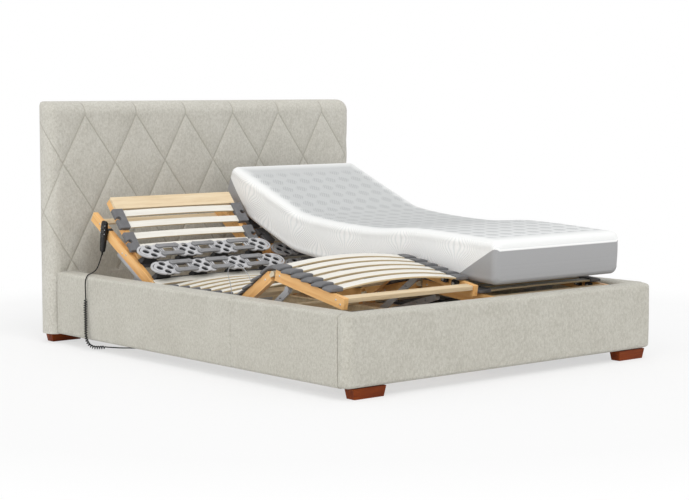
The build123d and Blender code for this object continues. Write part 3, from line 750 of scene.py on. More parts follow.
# %% [markdown]
# ## Winding the curl
# A curly cord is moulded as a close spring, so the middle of the line is wound round its axis.  The spring opens
# slowly at its start and closes slowly at its end: a winding that began at full width would kink the cord there.  One
# tube is then swept along the whole line, carried without twisting.  The handset tilts with the back section and the
# rail doesn't; the tube is baked in place and rides on neither body.

# %% Wind the curl and sweep the cord
POINTS_A_TURN = 16
OPENING_TURNS = 1.5
SLOWEST_TURN = 0.15
LEAD_BENDS_FROM = Vector((0, 0, -0.012))


def wound(line, radius, pitch):
    """Helix about a line; it opens from the line slowly at its start and closes slowly at its end."""
    steps = [0.0]
    for near, far in zip(line, line[1:]):
        steps.append(steps[-1] + (far - near).length)
    total = steps[-1]
    frames = frames_along(line)
    count = int(total / pitch * POINTS_A_TURN)
    opening = OPENING_TURNS * pitch
    points = []
    turn = 0.0
    for i in range(count + 1):
        gone = total * i / count
        k = max(0, min(len(steps) - 2, int(np.searchsorted(steps, gone)) - 1))
        part = (gone - steps[k]) / (steps[k + 1] - steps[k])
        place = line[k].lerp(line[k + 1], part)
        along, side = frames[k]
        other = along.cross(side)
        share = min(1.0, gone / opening, (total - gone) / opening)
        turn += tau * total / count / pitch * max(SLOWEST_TURN, share)
        open_by = radius * share * share * (3 - 2 * share)
        points.append(place + side * (open_by * cos(turn)) + other * (open_by * sin(turn)))
    return points


def tube(line, radius, count=10):
    shape = bmesh.new()
    rings = []
    for place, (along, side) in zip(line, frames_along(line)):
        rings.append(ring(place, radius, radius, side, along.cross(side), 2, count))
    loft(shape, rings)
    return shape


lead = along_spline(LEAD_ROUTE)
curl = wound(along_spline(CURL_ROUTE), (CURL_RADIUS - LEAD_RADIUS) * MM, CURL_PITCH * MM)
under_bed = along_spline(FLOOR_ROUTE)
cord_line = lead + curl[1:-1] + under_bed
cord_length = sum((b - a).length for a, b in zip(cord_line, cord_line[1:]))
cord_nodes = ("handset_lead", "curly_cord", "floor_lead")
swept = tube(cord_line, LEAD_RADIUS * MM)
handset_cord = piece("handset_cord", swept, CORD_JACKET, None, cord_nodes, sharp=None)
lead_from = cord_line[0] + LEAD_BENDS_FROM
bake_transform(handset_cord)
print("cord of", round(cord_length, 3), "m in", len(cord_line), "points")

# %% [markdown]
# ## Upholstered surround
# The headboard and rails are boards under foam and cloth.  Cloth over foam has no hard edge: it turns every corner
# in a soft curve, swells a little in the middle of a panel and dips into each seam.  So each one is a box whose
# faces are a close grid, whose edges are drawn out to an ellipse, and whose points are then pressed in or out along
# the surface.  The grid of the headboard is far finer than its quilting, so that the seams stay crisp.


# %% A soft box
def edge_lines(low, high, radius, pitch, count=5):
    """Places of the grid lines on one side: even in the middle, close round the edges."""
    inner = max(2, round((high - low - 2 * radius) / pitch))
    middle = np.linspace(low + radius, high - radius, inner + 1)
    bend = radius * np.tan(np.linspace(pi / 4, 0, count + 1))[:-1]
    return np.concatenate([low + radius - bend, middle, (high - radius + bend)[::-1]])


def soft_box(low, high, radius, pitch, press, reshape=None):
    """Box in millimetres with elliptic edges; press gives how far a point goes out along its normal."""
    low, high, radius = np.array(low, float), np.array(high, float), np.array(radius, float)
    lines = [edge_lines(*numbers) for numbers in zip(low, high, radius, pitch)]
    last = [len(line) - 1 for line in lines]
    shape = bmesh.new()
    made = {}

    def corner(index):
        if index not in made:
            place = np.array([line[i] for line, i in zip(lines, index)])
            core = np.clip(place, low + radius, high - radius)
            out = (place - core) / radius
            out /= np.sqrt(out.dot(out))
            normal = out / radius
            normal /= np.sqrt(normal.dot(normal))
            place = core + radius * out
            place = place + normal * press(place, normal)
            if reshape:
                place = reshape(place)
            made[index] = shape.verts.new(place * MM)
        return made[index]

    for axis in range(3):
        a, b = [other for other in range(3) if other != axis]
        for end in (0, last[axis]):
            for i in range(last[a]):
                for j in range(last[b]):
                    quad = []
                    for di, dj in ((0, 0), (1, 0), (1, 1), (0, 1)):
                        index = [end] * 3
                        index[a] = i + di
                        index[b] = j + dj
                        quad.append(corner(tuple(index)))
                    shape.faces.new(quad)
    return shape


def dip(distance, depth, width):
    """Depth of a sewn seam at a distance from it."""
    return -depth * np.exp(-((distance / width) ** 2))


def box_mm(name):
    low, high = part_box(name)
    return np.array(low) / MM, np.array(high) / MM


print("headboard from", box_mm("headboard"))

# %% [markdown]
# ## Quilted headboard
# Two families of slanting seams make tall diamonds, and from the top of each diamond a straight seam goes up and
# over the edge.  Counting both slants in units of half a diamond, a seam is wherever a count is even, so the
# distance to the nearest seam is a simple remainder.  The foam rises quickly next to a seam and then flattens.

# %% Headboard
DIAMOND = (147.2, 231)
DIAMOND_TOP = 1090
FIRST_APEX = 147.2
QUILT_FOOT = 335
SLANT = 0.09
PUFF = 8
PUFF_REACH = 19
BOARD_HALF = 940
BOARD_BACK_HALF = 898
BOARD_EDGE = 60
ROUND_EDGE = 0.8
QUILT_TOP_REACH = 95
unit = 1 / hypot(1 / DIAMOND[0], 1 / DIAMOND[1])
board_low, board_high = box_mm("headboard")
front = board_low[1]


def to_even(count):
    return abs(count - 2 * round(count / 2))


def from_seam(place):
    """Distance to the nearest seam, in millimetres; the cloth is measured round the rounded edge."""
    x, y, z = place
    if z < QUILT_FOOT:
        return DIAMOND[0]
    if abs(x) > BOARD_HALF - BOARD_EDGE:
        x += ROUND_EDGE * (y - front) * (1 if x > 0 else -1)
    rise = (z - DIAMOND_TOP) / DIAMOND[1]
    run = (x + SLANT * min(0.0, z - DIAMOND_TOP) - FIRST_APEX) / DIAMOND[0]
    if rise < 0:
        return min(to_even(run + rise), to_even(run - rise)) * unit
    return to_even(run) * DIAMOND[0]


def quilt(place, normal):
    """Press of the front, the top and the rounded edges: down at the seams, out between them."""
    lifted = PUFF * (1 - np.exp(-from_seam(place) / PUFF_REACH)) - PUFF
    facing = max(0.0, -normal[1]) + max(0.0, normal[2]) * (place[1] < front + QUILT_TOP_REACH)
    return lifted * min(1.0, facing)


def board_back(place):
    """Flat back and foot, and sides that draw in towards the back."""
    x, y, z = place
    y = min(y, board_high[1])
    z = max(z, board_low[2])
    behind = max(0.0, y - front - BOARD_EDGE) / (board_high[1] - front - BOARD_EDGE)
    past_side = abs(x) - (BOARD_HALF - BOARD_EDGE)
    past_top = z - (board_high[2] - BOARD_EDGE)
    if behind and past_side > 0 and past_top > 0:
        power = 2 + 8 * behind
        reach = hypot(past_side, past_top)
        square = reach / (past_side**power + past_top**power) ** (1 / power)
        x += past_side * (square - 1) * (1 if x > 0 else -1)
        z += past_top * (square - 1)
    x *= 1 - (1 - BOARD_BACK_HALF / BOARD_HALF) * behind**2
    return np.array([x, y, z])


print("headboard front at", front, "mm, quilted in diamonds of", DIAMOND)

# %% [markdown]
# ## Cloth over the quilting
# The mesh dips at each seam, but the seam line itself is thinner than the grid.  So the cloth's finish works out
# the same distance from a seam with shader numbers and draws a fine dark line there: painted shade in the crease,
# with a little bump.  Both use the same constants, so the line always lies at the bottom of the dip.

# %% Quilted cloth
SEAM_LINE_REACH = (0.2, 4.5)
QUILT_BACK = 100


def quilt_lines(spot):
    """The same seams in the finish, as fine lines of painted shade and bump: 0 in a seam, 1 beside it."""
    x, y, z = parts(spot)
    outside = abs(x) > (BOARD_HALF - BOARD_EDGE) * MM
    round_edge = (y - front * MM) * ROUND_EDGE * outside * x.math("SIGN")
    above = z - DIAMOND_TOP * MM
    lean = above.math("MINIMUM", 0.0) * SLANT
    run = (x + round_edge + lean - FIRST_APEX * MM) / (DIAMOND[0] * MM)
    rise = above / (DIAMOND[1] * MM)
    one, two = [count.math("PINGPONG", 1.0) for count in (run + rise, run - rise)]
    slanting = one.math("MINIMUM", two) * unit
    upright = run.math("PINGPONG", 1.0) * DIAMOND[0]
    over = above > 0.0
    distance = slanting * (1.0 - over) + upright * over
    plain = (y > (front + QUILT_BACK) * MM).math("MAXIMUM", z < QUILT_FOOT * MM)
    return rising(distance, *SEAM_LINE_REACH).math("MAXIMUM", plain)


low = (-BOARD_HALF, front, board_low[2] - BOARD_EDGE)
high = (BOARD_HALF, board_high[1] + BOARD_EDGE, board_high[2])
pitch = (DIAMOND[0] / 30, 14, DIAMOND[1] / 32)
board = soft_box(low, high, (BOARD_EDGE,) * 3, pitch, quilt, board_back)
# The headboard's copy of the chenille is painted lighter than the rails' copy of the same cloth: painted light
# against the shade from the bases.
quilted = chenille("quilted_chenille_painted_light_and_shade", ((186, 183, 172), (201, 198, 188), (214, 212, 203)), quilt_lines)
board_cloth = piece("headboard_cloth", board, quilted, "bed", ("headboard",), sharp=60)
print("headboard cloth:", len(board_cloth.data.vertices), "points")

# %% [markdown]
# ## Padded rails
# The side rails are sewn from two lengths, so an upright seam crosses them, and the foot rail wraps round both
# corners to a seam of its own.  The foot rail is therefore one soft box whose ends are pushed back to that seam.

# %% Rails
RAIL_SEAM = -385
SEAM_DEPTH = 4.5
SEAM_WIDTH = 5
CORNER_SEAM = -1085
INNER_X = 806
SWELL = 2.0
RAIL_MIDDLE = 195
RAIL_REACH = 150
CLOTH_SINK = 1


def swell(place, facing):
    """How far the foam stands out on an upright face: most at the middle of its height."""
    return SWELL * facing * (1 - ((place[2] - RAIL_MIDDLE) / RAIL_REACH) ** 2)


def rail_press(place, normal):
    return swell(place, abs(normal[0])) + dip(place[1] - RAIL_SEAM, SEAM_DEPTH, SEAM_WIDTH) - CLOTH_SINK


def foot_press(place, normal):
    return swell(place, max(0.0, -normal[1])) - CLOTH_SINK


def wrap_corner(place):
    """The ends of the foot rail reach back only to the corner seam."""
    if abs(place[0]) > INNER_X:
        place = np.array([place[0], min(place[1], CORNER_SEAM - 0.4), place[2]])
    return place


SIDE_RAIL = ((20, 5, 18), (14, 8, 12), rail_press, None)
FOOT_RAIL = ((42, 42, 18), (9, 10, 12), foot_press, wrap_corner)
RAILS = (
    ("left_side_rail", SIDE_RAIL, None),
    ("right_side_rail", SIDE_RAIL, None),
    ("foot_rail", FOOT_RAIL, 60),
)
for name, box, sharp in RAILS:
    low, high = box_mm(name)
    soft = soft_box(low, high, *box)
    rail = piece(name + "_cloth", soft, CHENILLE, "bed", (name,), sharp=sharp)
    print(name, "in cloth, from", low, "to", high)

# %% [markdown]
# ## Mattress
# A foam mattress bends in smooth curves over the sections below it.  Its side outline is a curve through the places
# above the joints, and its cross-section is a rounded rectangle swept along that curve.  It lies over five sections,
# and is made as four lengths that meet on flat cuts, each cut in the middle of a section; each length is baked in
# place on no body.  Length and depth below the top are kept as texture places, so that the cloth's pattern bends with
# it.

# %% Mattress line
MATTRESS_TOP = ((822, 832), (445, 680), (261, 617), (-218, 583), (-520, 597), (-1041, 577))
MATTRESS_CENTRE = 400
MATTRESS_HALF = 398
MATTRESS_THICK = 194
MATTRESS_EDGE = 34
END_EDGE = 26
HEAD_RUN = 130
HEAD_RISE = 42
BORDER_SEAM = 14
POINTS_A_SPAN = 80
CUTS = (0, 505, 840, 1232, None)
BENDS = (
    ("mattress_head_cloth", "right_pillow", "right_back", 320, 490, ("mattress_head",)),
    ("mattress_seat_cloth", "right_back", "bed", 521, 681, ("mattress_back", "mattress_seat")),
    ("mattress_thigh_cloth", "bed", "right_thigh", 971, 1191, ("mattress_thigh",)),
    ("mattress_leg_cloth", "right_thigh", "right_leg", 1253, 1513, ("mattress_leg",)),
)

knots = [Vector((0, y, z)) for y, z in MATTRESS_TOP]
chords = [(b - a).length for a, b in zip(knots, knots[1:])]
slopes = []
for i in range(len(knots)):
    before = knots[max(0, i - 1)]
    after = knots[min(len(knots) - 1, i + 1)]
    slopes.append((after - before).normalized())


def top_line():
    """Close points along the curve through the knots, from the head to the foot."""
    points = []
    for a, b, slope_a, slope_b, chord in zip(knots, knots[1:], slopes, slopes[1:], chords):
        for step in range(POINTS_A_SPAN):
            t = step / POINTS_A_SPAN
            points.append(
                a * (2 * t**3 - 3 * t**2 + 1)
                + slope_a * (chord * (t**3 - 2 * t**2 + t))
                + b * (3 * t**2 - 2 * t**3)
                + slope_b * (chord * (t**3 - t**2))
            )
    return points + [knots[-1]]


line = top_line()
gone = np.concatenate([[0], np.cumsum([(b - a).length for a, b in zip(line, line[1:])])])
MATTRESS_LENGTH = float(gone[-1])


def on_mattress(distance, across, depth):
    """Point of the bed, in metres, at a distance from the head, across the middle and below the top."""
    k = int(np.clip(np.searchsorted(gone, distance) - 1, 0, len(line) - 2))
    part = (distance - gone[k]) / (gone[k + 1] - gone[k])
    near = (line[min(k + 2, len(line) - 1)] - line[max(k - 1, 0)]).normalized()
    down = Vector((1, 0, 0)).cross(near)
    spot = line[k].lerp(line[k + 1], float(part)) + down * depth
    return Vector((MATTRESS_CENTRE + across, spot.y, spot.z)) * MM


print("mattress of", round(MATTRESS_LENGTH), "mm along its top")

# %% [markdown]
# ## Cloth of the mattress
# The border is a white knit with sewn wavy lines, and the top a pale grey knit with a small raised figure.  A plain
# mid-grey panel covers both ends and runs out along the sides in a slant.  All three follow the texture places: the
# first number is the distance from the head, and the second is the depth below the top on the border, or the
# distance from the middle on the top, all in metres.

# %% Mattress finishes
PANEL_FOOT = (0.64, 0.03)
PANEL_HEAD = (0.53, 0.056)
RIDGE = 0.0125
FIGURE = 0.17
DASH = (0.021, 0.013)


def knit(name):
    material, shader = blank_finish(
        name, Roughness=0.85, Sheen_Weight=0.15, Sheen_Roughness=0.5, Specular_IOR_Level=0.25
    )
    return material, shader, flow(shader.id_data, "UVMap", "UV", uv_map="cloth")


def border_knit():
    material, shader, spot = knit("border_knit")
    length, depth, _ = parts(spot)
    swing = sine(depth * 30) * sine(length * 17) * 0.042
    ridge = rising(sine((length + swing) * (tau / RIDGE)), -1.0, 0.6)
    fine = noise(stretched(spot, 700, 700, 1), 1.0)
    white = ramp(ridge, (0.0, (234, 236, 236)), (0.45, (247, 248, 247)), (1.0, (250, 250, 249)))
    panel = ramp(fine, (0.25, (154, 154, 155)), (0.75, (172, 172, 173)))
    at_foot = (MATTRESS_LENGTH * MM - length) * PANEL_FOOT[0] + PANEL_FOOT[1]
    at_head = length * PANEL_HEAD[0] + PANEL_HEAD[1]
    on_panel = rising(depth - at_foot.math("MINIMUM", at_head), -0.0012, 0.0012)
    relief = bumped(ridge * (1.0 - on_panel), 0.001, bumped(fine, 0.0004))
    feed(shader, Base_Color=mixed(on_panel, white, panel), Normal=relief)
    return material


def top_knit():
    material, shader, spot = knit("top_knit")
    length, across, _ = parts(spot)
    one, two = [sine(slant * (tau / FIGURE)) for slant in (length + across, length - across)]
    figure = rising(one * two, 0.0, 0.35)
    dash = rising(sine(length * (tau / DASH[0])) * sine(across * (tau / DASH[1])), -0.2, 0.5)
    to_side = MATTRESS_HALF * MM - abs(across)
    to_foot = MATTRESS_LENGTH * MM - length
    inside = rising(to_side, 0.03, 0.05) * rising(to_foot, 0.07, 0.09)
    inside = inside * rising(length, 0.1, 0.13) * grey(length, 0.7, 1.0, 0.5, 1.1)
    shown = figure * dash * inside
    fine = noise(stretched(spot, 600, 600, 1), 1.0)
    upper = ramp(fine, (0.25, (188, 190, 190)), (0.75, (203, 205, 205)))
    lower = ramp(fine, (0.25, (218, 220, 220)), (0.75, (231, 232, 232)))
    ground = mixed(rising(length, 1.15, 1.85), upper, lower)
    to_edge = to_side.math("MINIMUM", to_foot).math("MINIMUM", length)
    ground = mixed(rising(to_edge, 0.008, 0.075), colour(240, 241, 240), ground)
    shade = mixed(shown, ground, colour(156, 159, 161))
    feed(shader, Base_Color=shade, Normal=bumped(shown, 0.0012, bumped(fine, 0.0004)))
    return material


BORDER_KNIT = border_knit()
TOP_KNIT = top_knit()
print("knits:", BORDER_KNIT.name, TOP_KNIT.name)

# %% [markdown]
# ## Lengths of the mattress
# The cross-section is drawn once, from the middle of the top round to the middle of the bottom, and mirrored.  It is
# set at close steps along the line, and at the head and the foot it shrinks along a quarter of a circle, so that
# the ends are as round as the sides.  Under the head the edge is cut back further, to pass clear of the brackets.
# Faces near the top take the top's knit and all others the border's.  The foam bulges a little on its sides.

# %% Mattress lengths
SIDE_IN = 2
SIDE_BULGE = 3
STEP = 9


def outline_half():
    """Right half of the cross-section from the middle of the top to the middle of the bottom."""
    points = [(across, 0.0) for across in np.linspace(0, MATTRESS_HALF - MATTRESS_EDGE, 24)]
    for turn in np.linspace(0, pi / 2, 8)[1:]:
        points.append((MATTRESS_HALF - MATTRESS_EDGE * (1 - sin(turn)), MATTRESS_EDGE * (1 - cos(turn))))
    for depth in np.linspace(MATTRESS_EDGE, MATTRESS_THICK - MATTRESS_EDGE, 14)[1:]:
        bulge = SIDE_BULGE * sin(pi * (depth - MATTRESS_EDGE) / (MATTRESS_THICK - 2 * MATTRESS_EDGE))
        points.append((MATTRESS_HALF - SIDE_IN + bulge, depth))
    for turn in np.linspace(0, pi / 2, 8)[1:]:
        across = MATTRESS_HALF - MATTRESS_EDGE * (1 - cos(turn))
        points.append((across, MATTRESS_THICK - MATTRESS_EDGE * (1 - sin(turn))))
    for across in np.linspace(MATTRESS_HALF - MATTRESS_EDGE, 0, 16)[1:]:
        points.append((across, MATTRESS_THICK))
    return points


half = outline_half()
full = half + [(-across, depth) for across, depth in half[-2:0:-1]]


def quarter(to_end, reach):
    """How much of its drop a rounded end has made: 1 at the end, 0 from the reach on."""
    if to_end >= reach:
        return 0.0
    return 1 - (1 - (1 - to_end / reach) ** 2) ** 0.5


def mattress_length(start, end, head_end, foot_end):
    """One length, rounded where it is an end of the mattress."""
    shape = bmesh.new()
    cloth = shape.loops.layers.uv.new("cloth")
    inside = list(np.linspace(start, end, max(8, round((end - start) / STEP))))
    rounding = [END_EDGE * (1 - cos(turn)) for turn in np.linspace(0, pi / 2, 9)]
    if head_end:
        inside = rounding + [s for s in inside if s > END_EDGE + 3]
    if foot_end:
        inside = [s for s in inside if s < end - END_EDGE - 3] + [end - r for r in rounding[::-1]]
    rows = []
    for distance in inside:
        pull = rise = 0.0
        if head_end:
            pull = END_EDGE * quarter(distance, END_EDGE)
            rise = HEAD_RISE * quarter(distance, HEAD_RUN)
        if foot_end:
            pull = END_EDGE * quarter(end - distance, END_EDGE)
        rise = max(rise, pull)
        row = []
        for across, depth in full:
            x = across * (1 - pull / MATTRESS_HALF)
            d = pull + depth * (MATTRESS_THICK - pull - rise) / MATTRESS_THICK
            row.append((shape.verts.new(on_mattress(distance, x, d)), distance, across, depth))
        rows.append(row)
    count = len(full)

    def skin(corners):
        face = shape.faces.new([corner[0] for corner in corners])
        on_top = max(corner[3] for corner in corners) <= BORDER_SEAM
        face.material_index = 1 if on_top else 0
        for loop, corner in zip(face.loops, corners):
            loop[cloth].uv = (corner[1] * MM, (corner[2] if on_top else corner[3]) * MM)

    for near, far in zip(rows, rows[1:]):
        for i in range(count):
            skin((near[i], near[(i + 1) % count], far[(i + 1) % count], far[i]))
    for row in (rows[0], rows[-1]):
        for i in range(len(half) - 1):
            corners = (row[i], row[i + 1], row[(count - i - 1) % count], row[(count - i) % count])
            skin(list(dict.fromkeys(corners)))
    return shape


for part, (name, body_a, body_b, start, end, nodes) in enumerate(BENDS):
    near, far = CUTS[part], CUTS[part + 1] or MATTRESS_LENGTH
    foam = mattress_length(near, far, part == 0, part == len(BENDS) - 1)
    length = piece(name, foam, BORDER_KNIT, None, nodes, sharp=60)
    length.data.materials.append(TOP_KNIT)
    first, last = [tuple(on_mattress(place, 0, MATTRESS_THICK / 2)) for place in (start, end)]
    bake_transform(length)
    print(name, "from", near, "to", round(far), "mm,", len(length.data.vertices), "points")

# %% [markdown]
# ## Rubber slat caps
# Every sprung slat ends in a soft rubber cap that sits on the rail.  A cap is a paddle: thin and round outside the
# rail, thick where the slat goes in, and tipped a little so that each one overlaps its neighbour like a roof tile.
# It is a loft across the bed, from the outer tip to the mouth, in the box that its solid holds, with a small stud
# below that clips it to the rail.

# %% Slat caps
PADDLE_LENGTH = {"left": 68, "right": 60}
PADDLE_TIP = {"left": 11, "right": 2}
JOINT_TIP = 0.3
FREE_END = {"seat": -1, "thigh": 1, "leg": -1}
STUD_IN = 0.022
STUD_HALF = (0.006, 0.008)
STUD_HEIGHTS = (-0.0018, 0.006)
PADDLE = (
    (0.00, 0.84, 0.30, -3.6),
    (0.012, 0.93, 0.44, -3.4),
    (0.04, 0.98, 0.56, -3.0),
    (0.12, 1.00, 0.68, -2.0),
    (0.30, 1.00, 0.84, -0.6),
    (0.45, 1.00, 1.00, 0.0),
    (0.80, 1.00, 1.00, 0.0),
    (0.96, 0.98, 0.96, 0.0),
    (1.00, 0.94, 0.86, 0.0),
)


def paddle(shape, low, high, free_end, at_joint):
    """One cap, in a section's axes: stations are share across, length, height and drop.

    A cap at the end of a section is shorter and flatter, so that it clears the next section when they fold.
    """
    middle = (low + high) / 2
    side = "left" if middle[0] < 0 else "right"
    hand = 1 if middle[0] > CENTRE[side] else -1
    tip, mouth = (high[0], low[0]) if hand > 0 else (low[0], high[0])
    long = high[1] - low[1] if at_joint else PADDLE_LENGTH[side] * MM
    tipped = free_end * PADDLE_TIP[side] * (JOINT_TIP if at_joint else 1)
    tilt = Matrix.Rotation(radians(tipped), 3, "X")
    along = tilt @ Vector((0, 1, 0))
    out = tilt @ Vector((0, 0, 1))
    half_height = (high[2] - low[2]) / 2
    rings = []
    for share, length, height, drop in PADDLE:
        place = Vector((tip + share * (mouth - tip), middle[1], middle[2])) + out * (drop * MM)
        rings.append(ring(place, length * long / 2, height * half_height, along, out, 6, 32))
    loft(shape, rings)
    stud_low, stud_high = [
        (tip - hand * STUD_IN + end * STUD_HALF[0], middle[1] + end * STUD_HALF[1], low[2] + up)
        for end, up in zip(HANDS, STUD_HEIGHTS)
    ]
    block(shape, stud_low, stud_high, 0.001)


def cap_set(name, section, body):
    shape = bmesh.new()
    boxes = solids(name, SECTION[section])
    places = [round(low[1], 3) for low, high in boxes]
    for low, high in boxes:
        at_joint = round(low[1], 3) in (min(places), max(places))
        paddle(shape, low, high, FREE_END[section.split("_")[-1]], at_joint)
    piece(name + "_rubber", shape, CAP_RUBBER, body, (name,), SECTION[section], sharp=50)
    return len(boxes)


caps = cap_set("seat_caps", "seat", "bed")
for side in SIDES:
    for section in ("thigh", "leg"):
        caps += cap_set(f"{side}_{section}_caps", f"{side}_{section}", f"{side}_{section}")
print("slat caps:", caps)

# %% [markdown]
# ## Twin caps of the pillow section
# The head end has flat twin holders.  Each takes two slats and has a keyhole on its outer edge, which lets the two
# halves flex apart.  They are cut from an outline: a rounded rectangle with the keyhole in it.

# %% Twin caps
KEYHOLE = 11
KEYHOLE_NECK = 5
KEYHOLE_IN = 17
CORNER = 5
TWIN_EDGE = 0.0025


def arc(x, y, radius, start, end, count=8):
    turns = [radians(angle) for angle in np.linspace(start, end, count)]
    return [(x + radius * cos(turn), y + radius * sin(turn)) for turn in turns]


def twin_outline(width, length):
    """Outline in millimetres with the keyhole on the side of positive x."""
    w, h = width / 2, length / 2
    opening = np.degrees(np.arcsin(KEYHOLE_NECK / KEYHOLE))
    loop = arc(-w + CORNER, h - CORNER, CORNER, 180, 90)
    loop += arc(w - CORNER, h - CORNER, CORNER, 90, 0)
    loop += arc(w - 2, KEYHOLE_NECK + 2, 2, 0, -90, 4)
    loop += arc(w - KEYHOLE_IN, 0, KEYHOLE, opening, 360 - opening, 18)
    loop += arc(w - 2, -KEYHOLE_NECK - 2, 2, 90, 0, 4)
    loop += arc(w - CORNER, -h + CORNER, CORNER, 0, -90)
    loop += arc(-w + CORNER, -h + CORNER, CORNER, -90, -180)
    return [(x * MM, y * MM) for x, y in loop]


for side in SIDES:
    shape = bmesh.new()
    name = f"{side}_pillow_caps"
    for low, high in solids(name, SECTION[f"{side}_pillow"]):
        middle = (low + high) / 2
        size = (high - low) / MM
        hand = 1 if middle[0] > CENTRE[side] else -1
        flat = cut_out([twin_outline(size[0], size[1])], low[2], high[2], TWIN_EDGE)
        mirrored = Matrix.Diagonal((hand, 1, 1, 1))
        add_mesh(shape, flat, Matrix.Translation((middle[0], middle[1], 0)) @ mirrored)
    body = f"{side}_pillow"
    piece(name + "_rubber", shape, CAP_RUBBER, body, (name,), SECTION[body])
print("twin caps cut")

# %% [markdown]
# ## Suspension plates
# Under the shoulders the slats give way to rows of sprung plates.  Each plate is a thin moulding with four oval
# holes in a diamond, scalloped edges and two slots at each inner end.  The outer plates end in a round nose with a
# long curved slot.  A flat moulding like this is all outline, so each plate is one outline with holes, cut out.

# %% Plates
PLATE_HALF = (73, 50)
PLATE_HOLES = ((0, 30), (0, -30), (29, 0), (-29, 0))
HOLE_HALF = (17, 16)
SLOT_AT = (51, 62)
SLOT_HALF = (2.5, 21)
PLATE_EDGE = 0.0012
SCALLOP = (46, 0.13)
NOSE_SLOT = ((64, 41), (60, 38))


def oval(x, y, half_x, half_y, power=2.0, count=20):
    loop = []
    for i in range(count):
        a, b = rounded(tau * i / count, power)
        loop.append(((x + a * half_x) * MM, (y + b * half_y) * MM))
    return loop


def plate_outline(nose):
    """Scalloped outline in metres; the nose is 1 or -1 where that end is round, or 0."""
    loop = []
    for i in range(96):
        angle = tau * i / 96
        round_end = nose * cos(angle) > 0
        a, b = rounded(angle, 2.1 if round_end else 5.0)
        x, y = a * PLATE_HALF[0], b * PLATE_HALF[1]
        if not round_end or abs(x) < 20:
            waves = 0.5 + 0.5 * cos(tau * x / SCALLOP[0])
            y *= 1 - SCALLOP[1] * (1 - waves) * (abs(b) ** 4)
        loop.append((x * MM, y * MM))
    return loop


def curved_slot(nose):
    turns = [radians(angle) for angle in np.linspace(-52, 52, 15)]
    outer, inner = [[(nose * x * cos(turn), y * sin(turn)) for turn in turns] for x, y in NOSE_SLOT]
    return [(x * MM, y * MM) for x, y in outer + inner[::-1]]


def plate(nose):
    loops = [plate_outline(nose)]
    loops += [oval(x, y, *HOLE_HALF) for x, y in PLATE_HOLES]
    for end in HANDS:
        if end == nose:
            loops.append(curved_slot(nose))
        else:
            loops += [oval(end * at, 0, *SLOT_HALF, 4) for at in SLOT_AT]
    return loops


for side in SIDES:
    shape = bmesh.new()
    name = f"{side}_spring_plates"
    body = f"{side}_back"
    boxes = solids(name, SECTION[body])
    edges = (min(box[0][0] for box in boxes), max(box[1][0] for box in boxes))
    for low, high in boxes:
        middle = (low + high) / 2
        nose = int(high[0] > edges[1] - 0.01) - int(low[0] < edges[0] + 0.01)
        flat = cut_out(plate(nose), low[2], high[2], PLATE_EDGE)
        add_mesh(shape, flat, Matrix.Translation((middle[0], middle[1], 0)))
    piece(name + "_moulded", shape, PLATE_PLASTIC, body, (name,), SECTION[body])
print("plates:", 2 * len(boxes))

# %% [markdown]
# ## Links and spring mounts
# Bars with round ends link neighbouring plates, so that a push on one is shared, and a waisted spring holds each
# plate up from its beam.  The spring opens into a wide dark cup just below the plate: painted shade, a dark sheet
# that shows through the holes as the shade under the plates.
# The frame has links and springs in one node, and the narrow solids are the links.

# %% Links and spring mounts
LINK_NECK = 0.86
LINK_GROWTH = (1.16, 1.45)
LINK_EDGE = 0.0011
WIDEST_LINK = 25
MOUNT_WAIST = (
    (0.0, 1.0, 1.0),
    (0.12, 1.0, 1.0),
    (0.3, 0.84, 0.88),
    (0.5, 0.76, 0.82),
    (0.7, 0.84, 0.88),
    (0.84, 1.0, 1.0),
)
SHADE_CUP_HALF = (47, 45)
SHADE_CUP_LEVELS = (0.9, 0.98)
FLAT = ((1, 0, 0), (0, 1, 0))


def link_outline(length, width):
    """Bar with round ends and a slightly narrower middle."""
    radius = width / 2
    run = length / 2 - radius
    loop = arc(run, 0, radius, -90, 90, 12)
    loop += [(run * share, radius * LINK_NECK) for share in (0.7, 0, -0.7)]
    loop += arc(-run, 0, radius, 90, 270, 12)
    loop += [(run * share, -radius * LINK_NECK) for share in (-0.7, 0, 0.7)]
    return [(x * MM, y * MM) for x, y in loop]


for side in SIDES:
    links, mounts = bmesh.new(), bmesh.new()
    name = f"{side}_plate_carriers"
    body = f"{side}_back"
    for low, high in solids(name, SECTION[body]):
        middle = (low + high) / 2
        size = (high - low) / MM
        if size[1] < WIDEST_LINK:
            outline = link_outline(size[0] * LINK_GROWTH[0], size[1] * LINK_GROWTH[1])
            flat = cut_out([outline], low[2], high[2], LINK_EDGE)
            add_mesh(links, flat, Matrix.Translation((middle[0], middle[1], 0)))
            for end in HANDS:
                spot = Vector((middle[0] + end * (size[0] / 2 - 10) * MM, middle[1], high[2]))
                rod(links, spot - Vector((0, 0, 0.001)), spot + Vector((0, 0, 0.0012)), 0.005)
        else:
            levels = [(share, wide * size[0] / 2, deep * size[1] / 2, 5) for share, wide, deep in MOUNT_WAIST]
            # The wide dark cup under each plate is painted shade: it stands in for the shade that shows through the
            # plate's holes.
            levels += [(share, *SHADE_CUP_HALF, 3) for share in SHADE_CUP_LEVELS]
            rings = []
            for share, half_x, half_y, power in levels:
                spot = Vector((middle[0], middle[1], low[2] + share * (high[2] - low[2])))
                rings.append(ring(spot, half_x * MM, half_y * MM, *FLAT, power))
            loft(mounts, rings)
    place = SECTION[body]
    bars = piece(f"{side}_plate_links", links, LINK_PLASTIC, body, (name,), place)
    piece(f"{side}_plate_mounts_and_shade_cups", mounts, MOUNT_PLASTIC, body, (), place, 50)
    print(bars.name, len(bars.data.vertices), "points")

# %% [markdown]
# ## Handset
# A slim black remote hangs on the outer back rail by a bent strap.  Its shell is a loft up its length, flat in front
# where the keys sit and round at both ends.  Beside each key two pale marks are printed.  A short ribbed sleeve
# guards the cord where it leaves.

